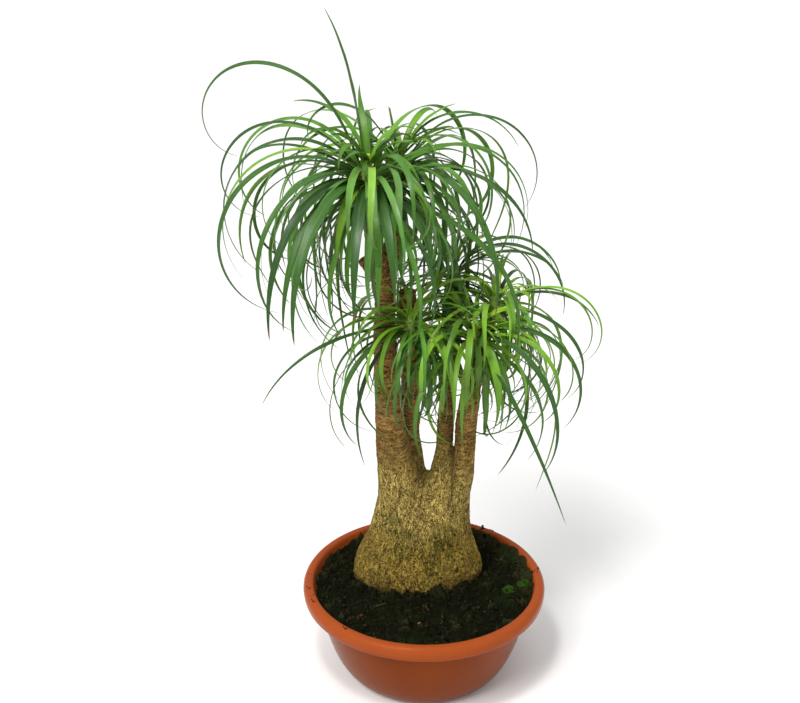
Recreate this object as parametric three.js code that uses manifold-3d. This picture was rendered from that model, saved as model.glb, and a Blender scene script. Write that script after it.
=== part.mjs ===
// Potted ponytail palm: a swollen elephant-foot trunk that splits into four stems, seven heads of long
// arching strap leaves, and a shallow round bowl filled with soil.
// Millimetres, +Z up. The origin is the middle of the bowl's flat foot. The front is towards -Y.
import * as THREE from "three";
import { mergeVertices } from "three/addons/utils/BufferGeometryUtils.js";
import Module from "manifold-3d";

const wasm = await Module();
wasm.setup();

// The gap that keeps touching pieces apart.
const SEAT_GAP = 0.4;
const ROUND_SIDES = 32;

// Bowl
const FOOT_RADIUS = 127;
const WALL_RADIUS = 200;
const WALL_HEIGHT = 152;
const WALL_SWELL = 0.43;
const WALL_SHARES = [0, 0.04, 0.2, 0.52, 1];
const WALL_THICK = 5;
const FLOOR_THICK = 6;
const RIM_RADIUS = 225;
const RIM_TOP = 180;
const RIM_INNER = 206;
const RIM_ROUND = 13;
const RIM_BEVEL = 4;
const DRAIN_HOLES = 4;
const DRAIN_RADIUS = 6;
const DRAIN_CIRCLE = 84;

// Soil
const SOIL_EDGE = 166;
const SOIL_RADIUS = RIM_INNER - RIM_BEVEL - 2 * SEAT_GAP;
const SOIL_MOUND = 16;
const SOIL_LUMP = 2.5;
const SOIL_RINGS = [1, 0.75, 0.4];

// Trunk: the caudex as level rings, each with its height, middle, half width and half depth
const CAUDEX = [
  { z: 62, x: -10, y: 30, wide: 52, deep: 44 },
  { z: 110, x: -11, y: 30, wide: 92, deep: 70 },
  { z: 160, x: -13, y: 30, wide: 114, deep: 86 },
  { z: 198, x: -14, y: 30, wide: 120, deep: 90 },
  { z: 226, x: -13, y: 30, wide: 111, deep: 85 },
  { z: 256, x: -10, y: 30, wide: 97, deep: 77 },
  { z: 292, x: -7, y: 30, wide: 89, deep: 64 },
  { z: 336, x: -3, y: 31, wide: 84, deep: 46 },
  { z: 364, x: 0, y: 31, wide: 76, deep: 32 },
  { z: 381, x: 1, y: 31, wide: 50, deep: 18 },
];
const CAUDEX_SIDES = 20;
const CAUDEX_LOBES = 5;
const CAUDEX_LOBE_DEPTH = 0.035;

// Stems: each point is x, y, z and the stem's radius there. A stem that carries a head runs on to its foot.
const STEMS = {
  left: [[-38, 24, 290, 46], [-43, 21, 355, 42], [-53, 17, 420, 33], [-61, 14, 480, 27.5],
    [-67, 9, 580, 22.5], [-71, 6, 680, 19], [-69, 5, 760, 18], [-70, 5, 780, 15]],
  leftFork: [[-70, 5, 755, 15], [-82, -2, 800, 15], [-90, -12, 850, 14]],
  rightFork: [[-68, 6, 760, 15], [-60, 20, 810, 14.5], [-53, 34, 860, 13.5]],
  leftStub: [[-74, 3, 765, 14], [-97, -1, 795, 12.5], [-107, -2, 808, 11.5]],
  back: [[-26, 46, 320, 36], [-25, 54, 400, 23.5], [-27, 54, 460, 18], [-25, 48, 560, 18],
    [-28, 36, 640, 17], [-31, 26, 700, 15.5], [-32, 22, 742, 14.5]],
  backShoot: [[-28, 32, 615, 12], [-27, 8, 640, 12.5]],
  middle: [[26, 28, 310, 33], [32, 31, 385, 22], [36, 36, 440, 16], [39, 44, 500, 15],
    [43, 62, 590, 14], [47, 80, 660, 13.5]],
  right: [[46, 28, 290, 30], [61, 19, 365, 26], [70, 14, 440, 20.5], [74, 11, 500, 19],
    [80, 8, 555, 17.5], [86, 5, 600, 15]],
  rightFrontFork: [[84, 4, 580, 13], [81, -14, 615, 12.5]],
  rightBackFork: [[86, 6, 585, 14], [92, 12, 625, 13], [101, 22, 660, 12.5]],
  rightTwig: [[80, 4, 560, 10], [72, -20, 578, 8.5]],
};
const STEM_SIDES = 9;
const STEM_STEP = 75;
const STEM_RUN_ON = 9;

// Leaves
const LEAF_STATIONS = 60;
const LEAF_STEPS = [
  { arch: 215, step: 6 },
  { arch: 118, step: 10 },
  { arch: 70, step: 12 },
  { arch: -1, step: 15 },
];
const LEAF_THICK_ROOT = 1.8;
const LEAF_THICK_TIP = 1.3;
const LEAF_CLEAR = 0.6;
const LEAF_TRIES = 40;
const LEAF_FREE_FROM = 0.14;
const LEAF_ROOT_SHARE = 0.55;
const LEAF_ROOT_WIDTH = 0.6;
const LEAF_FULL_FROM = 0.12;
const LEAF_TAPER_LONG = 0.58;
const LEAF_TIP_RUN_ON = 1.04;
const CURLING_SHARE = 0.8;
const FRONT_SHORTER = 0.3;
const YOUNG_WIDTH = 0.7;
const YOUNG_AT = 1.16;
const GOLDEN_ANGLE = 137.508;
const HEAD_SEEDS = 100000;
const YOUNG_SEEDS = 50000;
const RANK_SEEDS = 100;
const CORE_SIDES = 7;
const CORE_TAPER = 0.8;
const STEM_CUT = { height: 60, radiusShare: 1.7 };
const SHOOT_CORE = { height: 1.4, footShare: 0.45, topShare: 0.28 };

// Heads: the stem that ends in each, where it ends, the way the head leans, and how its leaves grow. A
// curling leaf turns on past the level by an angle in the curl range.
const HEADS = [
  { name: "left_crown", stem: "leftFork", base: [-91, -20, 908], lean: [-0.06, -0.1],
    radius: 16, height: 60, leaves: 42, young: 8, length: 440, width: 17, seed: 101,
    curl: [105, 180] },
  { name: "right_crown", stem: "rightFork", base: [-49, 43, 905], lean: [0.08, 0.08],
    radius: 15, height: 58, leaves: 36, young: 7, length: 422, width: 15.5, seed: 202,
    curl: [105, 180] },
  { name: "front_left_head", stem: "backShoot", base: [-26, -20, 672], lean: [0, -0.2],
    radius: 13.5, height: 34, leaves: 27, young: 6, length: 352, width: 13, seed: 303,
    curl: [120, 200] },
  { name: "back_head", stem: "middle", base: [49, 92, 724], lean: [0.05, 0.1],
    radius: 13.5, height: 36, leaves: 22, young: 5, length: 330, width: 11, seed: 404,
    curl: [110, 190] },
  { name: "front_right_head", stem: "rightFrontFork", base: [79, -29, 655], lean: [0.05, -0.15],
    radius: 13.5, height: 34, leaves: 29, young: 6, length: 362, width: 14, seed: 505,
    curl: [120, 200] },
  { name: "right_head", stem: "rightBackFork", base: [112, 32, 688], lean: [0.33, 0.05],
    radius: 13.5, height: 36, leaves: 29, young: 6, length: 345, width: 11.5, seed: 606,
    curl: [120, 200] },
  { name: "side_shoot", stem: "rightTwig", base: [66, -34, 596], lean: [-0.1, -0.3],
    radius: 9, height: 18, leaves: 8, young: 4, length: 190, width: 9.5, seed: 707,
    curl: [100, 160] },
];

// Single leaves that stand out in the outline. Azimuth is 0 to the right, 90 to the back and 180 to the left.
// A leaf rises at first, turns down by its arch (up again where that is negative), late or early on its way,
// and drifts sideways. A leaf that was cut short keeps only a share of its length.
const STRAY_LEAVES = {
  left_crown: [
    { at: 1.2, azimuth: 180, rise: 82, arch: 22, late: 2.4, drift: 0, length: 250, width: 11, shoot: true },
    { at: 0.9, azimuth: 178, rise: 70, arch: 248, late: 1.9, drift: -4, length: 490, width: 12 },
    { at: 0.84, azimuth: 188, rise: 54, arch: 232, late: 1.6, drift: 6, length: 410, width: 9 },
    { at: 0.85, azimuth: 176, rise: 28, arch: 105, late: 2.3, drift: -6, length: 240, width: 8 },
    { at: 0.55, azimuth: 230, rise: 36, arch: 128, late: 0.6, drift: 4, length: 330, width: 17 },
    { at: 0.5, azimuth: 262, rise: 38, arch: 134, late: 0.6, drift: 4, length: 285, width: 19 },
    { at: 0.55, azimuth: 240, rise: 36, arch: 136, late: 0.7, drift: -6, length: 365, width: 19 },
    { at: 0.6, azimuth: 226, rise: 38, arch: 136, late: 0.65, drift: 5, length: 370, width: 17 },
    { at: 0.55, azimuth: 284, rise: 34, arch: 122, late: 0.5, drift: 10, length: 240, width: 17 },
    { at: 0.7, azimuth: 203, rise: 44, arch: 212, late: 1.1, drift: -8, length: 500, width: 13 },
    { at: 0.65, azimuth: 226, rise: 34, arch: 190, late: 1.1, drift: -14, length: 450, width: 11 },
    { at: 0.8, azimuth: 168, rise: 50, arch: 205, late: 1.05, drift: 10, length: 470, width: 12 },
  ],
  right_crown: [
    { at: 1.1, azimuth: 200, rise: 60, arch: 178, late: 2.3, drift: -6, length: 235, width: 11, shoot: true },
    { at: 1.15, azimuth: 200, rise: 81, arch: 10, late: 1, drift: 0, length: 380, width: 12, shoot: true,
      keep: 0.22 },
    { at: 0.84, azimuth: -4, rise: 66, arch: 205, late: 1.2, drift: 4, length: 390, width: 8 },
    { at: 1.15, azimuth: 6, rise: 72, arch: 138, late: 0.95, drift: -6, length: 250, width: 8, shoot: true },
    { at: 0.75, azimuth: -12, rise: 12, arch: 104, late: 1.3, drift: 0, length: 300, width: 12 },
    { at: 0.6, azimuth: -48, rise: 36, arch: 140, late: 0.8, drift: 5, length: 370, width: 15 },
  ],
  front_left_head: [
    { at: 0.8, azimuth: 203, rise: 4, arch: 70, late: 1.5, drift: -10, length: 300, width: 9 },
    { at: 0.75, azimuth: 214, rise: -8, arch: 132, late: 1.3, drift: 0, length: 285, width: 11 },
    { at: 0.5, azimuth: 205, rise: -10, arch: 100, late: 0.6, drift: 0, length: 285, width: 10 },
  ],
  back_head: [
    { at: 0.85, azimuth: -4, rise: 36, arch: 112, late: 1.4, drift: 0, length: 225, width: 9 },
    { at: 0.95, azimuth: -4, rise: 62, arch: 150, late: 1.1, drift: -20, length: 250, width: 9 },
    { at: 0.95, azimuth: -20, rise: 56, arch: 160, late: 1.1, drift: -10, length: 290, width: 9 },
    { at: 0.9, azimuth: 8, rise: 56, arch: 130, late: 1.2, drift: -10, length: 215, width: 8 },
  ],
  front_right_head: [
    { at: 0.5, azimuth: -58, rise: -16, arch: 52, late: 0.6, drift: 30, length: 352, width: 9 },
    { at: 0.75, azimuth: -46, rise: 26, arch: 150, late: 0.9, drift: 14, length: 340, width: 12 },
    { at: 0.8, azimuth: -14, rise: 30, arch: 165, late: 1.1, drift: -8, length: 320, width: 13 },
  ],
  right_head: [
    { at: 0.8, azimuth: 4, rise: 26, arch: 96, late: 1.2, drift: 0, length: 210, width: 9 },
    { at: 0.75, azimuth: -20, rise: -3, arch: 146, late: 1.7, drift: 6, length: 275, width: 10 },
  ],
  side_shoot: [
    { at: 0.5, azimuth: -20, rise: -76, arch: -56, late: 3.4, drift: 0, length: 262, width: 9 },
  ],
};

// Colours
const PAINT = {
  bowl: { color: 0xb5532f, roughness: 0.45 },
  soil: { color: 0x1e1812, roughness: 1 },
  bark: { color: 0x9a7a4c, roughness: 0.9 },
  leaf: { color: 0x3c7a2a, roughness: 0.45 },
  youngLeaf: { color: 0x8fc02f, roughness: 0.45 },
};

const radians = THREE.MathUtils.degToRad;
const mix = THREE.MathUtils.lerp;

// A seeded stream of numbers from 0 to 1.
function stream(seed) {
  let state = seed >>> 0;
  return () => {
    state = (state + 0x6d2b79f5) >>> 0;
    let t = state;
    t = Math.imul(t ^ (t >>> 15), t | 1);
    t ^= t + Math.imul(t ^ (t >>> 7), t | 61);
    return ((t ^ (t >>> 14)) >>> 0) / 4294967296;
  };
}

// A closed solid from rings of points, each ring turning anticlockwise as seen from the next one.
function skin(rings, apex) {
  const sides = rings[0].length;
  const points = rings.flat();
  const faces = [];
  for (let r = 0; r + 1 < rings.length; r++) {
    for (let i = 0; i < sides; i++) {
      const a = r * sides + i;
      const b = r * sides + ((i + 1) % sides);
      faces.push([a, b, b + sides], [a, b + sides, a + sides]);
    }
  }
  for (let i = 2; i < sides; i++) faces.push([0, i, i - 1]);
  const last = (rings.length - 1) * sides;
  if (apex) {
    points.push(apex);
    for (let i = 0; i < sides; i++) faces.push([last + i, last + ((i + 1) % sides), points.length - 1]);
  } else {
    for (let i = 2; i < sides; i++) faces.push([last, last + i - 1, last + i]);
  }
  return new wasm.Manifold(new wasm.Mesh({
    numProp: 3,
    vertProperties: new Float32Array(points.flatMap((p) => [p.x, p.y, p.z])),
    triVerts: new Uint32Array(faces.flat()),
  }));
}

function solidOfGeometry(geometry) {
  const bare = geometry.index ? geometry.toNonIndexed() : geometry.clone();
  bare.deleteAttribute("normal");
  bare.deleteAttribute("uv");
  const merged = mergeVertices(bare, 1e-3);
  return new wasm.Manifold(new wasm.Mesh({
    numProp: 3,
    vertProperties: merged.attributes.position.array,
    triVerts: new Uint32Array(merged.index.array),
  }));
}

// The outer body of a union, without loose scraps and with any sealed hollow filled.
function outerBody(solid) {
  const bodies = solid.decompose().filter((body) => body.volume() > 0);
  bodies.sort((a, b) => b.volume() - a.volume());
  return bodies[0];
}

function meshOf(name, solid, paint) {
  const made = solid.getMesh();
  const geometry = new THREE.BufferGeometry();
  geometry.setAttribute("position", new THREE.BufferAttribute(new Float32Array(made.vertProperties), 3));
  geometry.setIndex(new THREE.BufferAttribute(new Uint32Array(made.triVerts), 1));
  geometry.computeVertexNormals();
  const mesh = new THREE.Mesh(geometry, new THREE.MeshStandardMaterial({ ...paint, metalness: 0 }));
  mesh.name = name;
  return mesh;
}

// A solid of revolution round Z from a profile of [radius, height] pairs.
function turned(profile) {
  const outline = profile.map(([radius, height]) => new THREE.Vector2(radius, height));
  return solidOfGeometry(new THREE.LatheGeometry(outline, ROUND_SIDES).rotateX(Math.PI / 2));
}

// The bowl's outer wall: a rounded foot that flares to an almost upright wall.
function wallRadius(height) {
  return FOOT_RADIUS + (WALL_RADIUS - FOOT_RADIUS) * (height / WALL_HEIGHT) ** WALL_SWELL;
}

const WALL_STEPS = WALL_SHARES.map((share) => share * WALL_HEIGHT);

// The bowl's inside from the middle of its floor up to the rim, drawn in by a gap for what fills it.
function innerWall(gap) {
  const floor = FLOOR_THICK + gap;
  const inside = WALL_STEPS.slice(2).map((height) => [wallRadius(height) - WALL_THICK - gap, height]);
  return [[0, floor], [wallRadius(WALL_STEPS[1]) - 2 * WALL_THICK, floor], ...inside];
}

function bowlSolid() {
  const outer = WALL_STEPS.map((height) => [wallRadius(height), height]);
  const lip = [
    [RIM_RADIUS - 5, WALL_HEIGHT],
    [RIM_RADIUS - 1, WALL_HEIGHT + 5],
    [RIM_RADIUS, RIM_TOP - RIM_ROUND],
    [RIM_RADIUS - 3, RIM_TOP - 4],
    [RIM_RADIUS - 9, RIM_TOP],
    [RIM_INNER + 2, RIM_TOP],
    [RIM_INNER - RIM_BEVEL, WALL_HEIGHT + 12],
  ];
  const profile = [[0, 0], ...outer, ...lip, ...innerWall(0).reverse()];
  const shell = turned(profile);
  const holes = Array.from({ length: DRAIN_HOLES }, (_, i) => {
    const angle = (2 * Math.PI * (i + 0.5)) / DRAIN_HOLES;
    const drill = new THREE.CylinderGeometry(DRAIN_RADIUS, DRAIN_RADIUS, 4 * FLOOR_THICK, 8);
    drill.rotateX(Math.PI / 2);
    drill.translate(DRAIN_CIRCLE * Math.cos(angle), DRAIN_CIRCLE * Math.sin(angle), 0);
    return solidOfGeometry(drill);
  });
  return shell.subtract(wasm.Manifold.union(holes));
}

// The height of the soil: level along the rim, with a low lumpy mound round the trunk.
function soilHeight(x, y) {
  const share = Math.min(1, Math.hypot(x, y) / SOIL_RADIUS);
  const lumps = Math.sin(x / 17) * Math.cos(y / 14) + Math.sin((x + 2 * y) / 29);
  return SOIL_EDGE + (1 - share * share) * (SOIL_MOUND + SOIL_LUMP * lumps);
}

function soilSolid(trunkHole) {
  const side = innerWall(SEAT_GAP);
  const ring = (radius, height) =>
    Array.from({ length: ROUND_SIDES }, (_, i) => {
      const angle = (2 * Math.PI * i) / ROUND_SIDES;
      const x = radius * Math.sin(angle);
      const y = -radius * Math.cos(angle);
      return new THREE.Vector3(x, y, height ?? soilHeight(x, y));
    });
  const sides = side.slice(1).map(([radius, height]) => ring(radius, height));
  const top = SOIL_RINGS.map((share) => ring(SOIL_RADIUS * share));
  const middle = new THREE.Vector3(0, 0, soilHeight(0, 0));
  return skin([...sides, ...top], middle).subtract(trunkHole);
}

// The caudex with a few broad lobes above the soil, grown outward by a gap where it cuts the soil.
function caudexSolid(gap) {
  const rings = CAUDEX.map((level) => {
    const lobes = level.z > 160 ? CAUDEX_LOBE_DEPTH : 0;
    return Array.from({ length: CAUDEX_SIDES }, (_, i) => {
      const angle = (2 * Math.PI * i) / CAUDEX_SIDES;
      const swell = 1 + lobes * Math.cos(CAUDEX_LOBES * angle + 0.6);
      return new THREE.Vector3(
        level.x + (level.wide * swell + gap) * Math.cos(angle),
        level.y + (level.deep * swell + gap) * Math.sin(angle),
        level.z - (level === CAUDEX[0] ? gap : 0),
      );
    });
  });
  return skin(rings);
}

// A round stem along a smooth line through its points. A stem that carries a head runs a little past its end,
// where it is cut flat.
function stemSolid([name, route]) {
  const head = HEADS.find((each) => each.stem === name);
  const points = [...route];
  if (head) {
    const end = new THREE.Vector3(...head.base).addScaledVector(headAxis(head), STEM_RUN_ON);
    points.push([...end.toArray(), head.radius]);
  }
  const line = new THREE.CatmullRomCurve3(points.map(([x, y, z]) => new THREE.Vector3(x, y, z)));
  const count = Math.max(3, Math.round(line.getLength() / STEM_STEP));
  const rings = [];
  for (let k = 0; k <= count; k++) {
    const share = line.getUtoTmapping(k / count);
    const place = share * (points.length - 1);
    const index = Math.min(points.length - 2, Math.floor(place));
    const radius = mix(points[index][3], points[index + 1][3], place - index);
    const middle = line.getPoint(share);
    const along = line.getTangent(share);
    const first = new THREE.Vector3(0, 1, 0).cross(along).normalize();
    const second = along.clone().cross(first);
    rings.push(Array.from({ length: STEM_SIDES }, (_, i) => {
      const angle = (2 * Math.PI * i) / STEM_SIDES;
      return middle.clone()
        .addScaledVector(first, radius * Math.cos(angle))
        .addScaledVector(second, radius * Math.sin(angle));
    }));
  }
  return skin(rings);
}

// The way from a head's foot to its growing tip, and the turn that leans it there from upright.
function headAxis(head) {
  return new THREE.Vector3(head.lean[0], head.lean[1], 1).normalize();
}

function leanOf(head) {
  return new THREE.Quaternion().setFromUnitVectors(new THREE.Vector3(0, 0, 1), headAxis(head));
}

// How one leaf grows. A share of 0 is the lowest leaf of a head and 1 its topmost; a young one has none.
// Older leaves either arch over and hang straight, or keep turning until their tips curl back. Those on the
// front side are the shorter ones.
function drawLeaf(head, rank, share, draw) {
  const young = share === undefined;
  const curls = draw() < CURLING_SHARE;
  const rise = young ? mix(38, 78, draw()) : mix(-20, 58, share) + 24 * (draw() - 0.5);
  const reach = young ? mix(0.26, 0.4, draw()) : curls ? mix(0.68, 1.02, draw()) : mix(0.48, 0.74, draw());
  const azimuth = GOLDEN_ANGLE * rank + 40 * (draw() - 0.5);
  const frontal = Math.max(0, -Math.sin(radians(azimuth)));
  return {
    at: young ? YOUNG_AT : mix(0.1, 0.92, share),
    azimuth,
    rise,
    arch: young ? mix(60, 150, draw()) : rise + (curls ? mix(...head.curl, draw()) : mix(84, 116, draw())),
    late: young || curls ? mix(0.8, 1.5, draw()) : mix(0.45, 0.8, draw()),
    drift: (curls ? 90 : 30) * (draw() - 0.5),
    length: head.length * reach * (1 - FRONT_SHORTER * frontal),
    width: head.width * (young ? YOUNG_WIDTH : curls ? mix(0.5, 0.85, draw()) : mix(0.75, 1.1, draw())),
    roll: 130 * (draw() - 0.5),
  };
}

// Sets a leaf in its head: strays keep their own directions and the others lean with the head.
function placeLeaf(head, grown, stray) {
  const axis = headAxis(head);
  const out = new THREE.Vector3(Math.cos(radians(grown.azimuth)), Math.sin(radians(grown.azimuth)), 0);
  const start = out.clone().multiplyScalar(Math.cos(radians(grown.rise)));
  start.z = Math.sin(radians(grown.rise));
  if (!stray) start.applyQuaternion(leanOf(head));
  const inCore = grown.at > 1 ? SHOOT_CORE.topShare : LEAF_ROOT_SHARE;
  return {
    root: new THREE.Vector3(...head.base)
      .addScaledVector(axis, head.height * grown.at)
      .addScaledVector(out, head.radius * inCore),
    azimuth: Math.atan2(start.y, start.x),
    rise: Math.asin(start.z),
    arch: radians(grown.arch),
    late: grown.late,
    drift: radians(grown.drift),
    length: grown.length,
    width: grown.width,
    roll: radians(grown.roll ?? 0),
    keep: grown.keep ?? 1,
  };
}

// The leaf's middle line: it leaves the head at its rise, turns down by its arch and drifts sideways.
function leafLine(leaf) {
  const line = [];
  const point = leaf.root.clone();
  for (let i = 0; i <= LEAF_STATIONS; i++) {
    const s = i / LEAF_STATIONS;
    const pitch = leaf.rise - leaf.arch * s ** leaf.late;
    const azimuth = leaf.azimuth + leaf.drift * s * s;
    const along = new THREE.Vector3(
      Math.cos(pitch) * Math.cos(azimuth),
      Math.cos(pitch) * Math.sin(azimuth),
      Math.sin(pitch),
    );
    const level = new THREE.Vector3(-Math.sin(azimuth), Math.cos(azimuth), 0);
    const upper = along.clone().cross(level);
    const roll = leaf.roll * s;
    const across = level.multiplyScalar(Math.cos(roll)).addScaledVector(upper, Math.sin(roll));
    line.push({ point: point.clone(), across, upper: along.clone().cross(across), s });
    point.addScaledVector(along, leaf.length / LEAF_STATIONS);
  }
  return line;
}

// A strap that keeps its width for half its length and then tapers to a thread.
function leafWidth(leaf, s) {
  const root = mix(LEAF_ROOT_WIDTH, 1, Math.min(1, s / LEAF_FULL_FROM));
  return leaf.width * root * Math.min(1, (LEAF_TIP_RUN_ON - s) / LEAF_TAPER_LONG) ** 0.9;
}

// One leaf as a thin three-sided blade with its keel underneath. A leaf cut short ends in a flat edge.
function leafSolid(leaf, from, clear) {
  const wanted = LEAF_STEPS.find((each) => Math.abs(leaf.arch) > radians(each.arch)).step;
  const step = Math.ceil(wanted * Math.min(1, leaf.keep * leaf.keep * 4));
  const kept = leafLine(leaf).filter(({ s }, i) => i % step === 0 && s >= from && s <= leaf.keep);
  const tip = leaf.keep < 1 ? undefined : kept.pop().point;
  const rings = kept.map(({ point, across, upper, s }) => {
    const half = leafWidth(leaf, s) / 2 + clear;
    const thick = mix(LEAF_THICK_ROOT, LEAF_THICK_TIP, s) + clear;
    return [
      point.clone().addScaledVector(across, half).addScaledVector(upper, clear),
      point.clone().addScaledVector(across, -half).addScaledVector(upper, clear),
      point.clone().addScaledVector(upper, -thick),
    ];
  });
  return skin(rings, tip);
}

// A tapering round core that the leaves of a head grow from.
function coreSolid(head, low, high, lowRadius, highRadius) {
  const tilt = leanOf(head);
  const base = new THREE.Vector3(...head.base);
  const ring = (height, radius) =>
    Array.from({ length: CORE_SIDES }, (_, i) => {
      const angle = (2 * Math.PI * i) / CORE_SIDES;
      return new THREE.Vector3(radius * Math.cos(angle), radius * Math.sin(angle), height)
        .applyQuaternion(tilt)
        .add(base);
    });
  return skin([ring(low, lowRadius), ring(high, highRadius)]);
}

const boxesMeet = (a, b) => [0, 1, 2].every((k) => a.min[k] <= b.max[k] && b.min[k] <= a.max[k]);

function meet(a, b) {
  if (!boxesMeet(a.box, b.box)) return false;
  const common = a.solid.intersect(b.solid);
  const touching = !common.isEmpty();
  common.delete();
  return touching;
}

const boxed = (solid, node) => ({ solid, box: solid.boundingBox(), node });

// The leaves to grow, strays first and then each head's share of them in turn, from the lowest up.
function leafPlans() {
  const plans = HEADS.flatMap((head) => {
    const strays = STRAY_LEAVES[head.name] ?? [];
    const each = (count, plan) => Array.from({ length: count }, (_, rank) => ({ head, rank, ...plan(rank) }));
    return [
      ...each(strays.length, (rank) => ({ turn: -1, stray: strays[rank], young: strays[rank].shoot })),
      ...each(head.leaves, (rank) => ({ turn: rank / head.leaves })),
      ...each(head.young, (rank) => ({ turn: (rank + 0.5) / head.young, young: true })),
    ];
  });
  return plans.sort((a, b) => a.turn - b.turn);
}

// A leaf that would cross another node is drawn again until it is bent clear, and one that never is stays
// away. Within a node the draw with the fewest crossings stands.
function growLeaves(nodes, obstacles) {
  const placed = [];
  for (const { head, stray, rank, young } of leafPlans()) {
    const node = head.name + (young ? "_shoot" : "_leaves");
    const strangers = [...obstacles, ...placed].filter((other) => other.node !== node);
    let best = null;
    for (let turn = 0; turn < LEAF_TRIES && !(best?.crossings === 0); turn++) {
      const draw = stream(head.seed * HEAD_SEEDS + (young ? YOUNG_SEEDS : 0) + rank * RANK_SEEDS + turn);
      const share = young ? undefined : rank / (head.leaves - 1);
      const grown = stray ? bend(stray, draw, turn) : drawLeaf(head, rank, share, draw);
      const leaf = placeLeaf(head, grown, stray);
      const wide = boxed(leafSolid(leaf, 0, LEAF_CLEAR), node);
      const blocked = strangers.some((other) => meet(wide, other));
      wide.solid.delete();
      if (blocked) continue;
      const free = boxed(leafSolid(leaf, LEAF_FREE_FROM * leaf.keep, 0), node);
      const crossings = placed.filter((other) => other.node === node && meet(free, other.free)).length;
      if (!best || crossings < best.crossings) best = { leaf, crossings, free };
    }
    if (!best) continue;
    const solid = leafSolid(best.leaf, 0, 0);
    placed.push({ ...boxed(solid, node), free: best.free });
    nodes.get(node).push(solid);
  }
}

// A stray leaf keeps its own line, and moves a little further aside with each turn when it is in the way.
function bend(stray, draw, turn) {
  const nudge = Math.min(1, turn / LEAF_TRIES);
  return {
    ...stray,
    azimuth: stray.azimuth + 24 * nudge * (draw() - 0.5),
    rise: stray.rise + 16 * nudge * (draw() - 0.5),
    at: stray.at + 0.1 * nudge * (draw() - 0.5),
  };
}

const part = new THREE.Group();
part.name = "potted_ponytail_palm";

const stemEnds = HEADS.map((head) => {
  const radius = head.radius * STEM_CUT.radiusShare;
  return coreSolid(head, 0, STEM_CUT.height, radius, radius);
});
const grownTrunk = wasm.Manifold.union([caudexSolid(0), ...Object.entries(STEMS).map(stemSolid)]);
const trunk = outerBody(grownTrunk.subtract(wasm.Manifold.union(stemEnds)));
const bowl = bowlSolid();
const soil = outerBody(soilSolid(caudexSolid(SEAT_GAP)));
part.add(meshOf("bowl", bowl, PAINT.bowl));
part.add(meshOf("soil", soil, PAINT.soil));
part.add(meshOf("trunk", trunk, PAINT.bark));

const nodes = new Map();
const obstacles = [boxed(trunk, "trunk"), boxed(bowl, "bowl"), boxed(soil, "soil")];
for (const head of HEADS) {
  const core = coreSolid(head, SEAT_GAP, head.height, head.radius, head.radius * CORE_TAPER);
  const tip = coreSolid(head, head.height + SEAT_GAP, head.height * SHOOT_CORE.height,
    head.radius * SHOOT_CORE.footShare, head.radius * SHOOT_CORE.topShare);
  nodes.set(head.name + "_leaves", [core]);
  nodes.set(head.name + "_shoot", [tip]);
  obstacles.push(boxed(core, head.name + "_leaves"), boxed(tip, head.name + "_shoot"));
}
growLeaves(nodes, obstacles);
for (const [name, solids] of nodes) {
  const paint = name.endsWith("_shoot") ? PAINT.youngLeaf : PAINT.leaf;
  part.add(meshOf(name, outerBody(wasm.Manifold.union(solids)), paint));
}

export default part;
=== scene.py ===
"""Looks of the potted ponytail palm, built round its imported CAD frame.

The CAD part holds the bowl, the soil, the trunk, and a leafy and a young node for each head. Each of them is
replaced here by a finer piece of the same form: the leaves are grown again by the CAD part's own rule, with
the same seeds, and more are added between them. Sizes are in millimetres until a mesh is made.
"""

import math

import bpy
import numpy as np
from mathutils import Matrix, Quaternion, Vector, noise
from mathutils.bvhtree import BVHTree


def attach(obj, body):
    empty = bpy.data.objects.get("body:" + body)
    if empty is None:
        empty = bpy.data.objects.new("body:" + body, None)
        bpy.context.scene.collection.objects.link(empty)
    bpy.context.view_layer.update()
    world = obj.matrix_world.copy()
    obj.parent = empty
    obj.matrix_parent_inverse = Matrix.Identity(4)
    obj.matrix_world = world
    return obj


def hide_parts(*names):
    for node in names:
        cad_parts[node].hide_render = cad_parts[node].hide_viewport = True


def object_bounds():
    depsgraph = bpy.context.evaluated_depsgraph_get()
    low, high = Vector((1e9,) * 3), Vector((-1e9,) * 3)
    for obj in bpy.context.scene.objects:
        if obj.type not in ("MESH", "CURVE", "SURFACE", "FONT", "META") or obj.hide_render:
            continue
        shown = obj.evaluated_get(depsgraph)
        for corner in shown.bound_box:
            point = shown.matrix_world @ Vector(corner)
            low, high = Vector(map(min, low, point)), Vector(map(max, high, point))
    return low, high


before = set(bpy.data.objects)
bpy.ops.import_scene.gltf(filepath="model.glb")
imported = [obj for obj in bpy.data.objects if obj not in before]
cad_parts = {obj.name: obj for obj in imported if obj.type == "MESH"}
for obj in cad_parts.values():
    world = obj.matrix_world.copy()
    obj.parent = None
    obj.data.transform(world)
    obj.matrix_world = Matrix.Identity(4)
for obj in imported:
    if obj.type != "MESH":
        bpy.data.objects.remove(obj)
cad_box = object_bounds()

MM = 0.001

# Camera: the photo looks down from in front, with the image middle a little left of the plant.
CAMERA_PLACE = (-44.5, -2000.0, 1484.0)
CAMERA_PITCH_DOWN = 22.94
FOCAL_PIXELS = 1257.2
IMAGE_WIDTH_PIXELS = 800
SENSOR_WIDTH = 36.0

# Bowl, as in the CAD part
FOOT_RADIUS = 127.0
WALL_RADIUS = 200.0
WALL_HEIGHT = 152.0
WALL_SWELL = 0.43
WALL_THICK = 5.0
FLOOR_THICK = 6.0
RIM_RADIUS = 225.0
RIM_TOP = 180.0
RIM_INNER = 206.0
RIM_BEVEL = 4.0
DRAIN_HOLES = 4
DRAIN_RADIUS = 6.0
DRAIN_CIRCLE = 84.0

# Soil, as in the CAD part
SOIL_EDGE = 166.0
SOIL_MOUND = 16.0
SOIL_LUMP = 2.5
SOIL_RADIUS = 201.2

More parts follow.
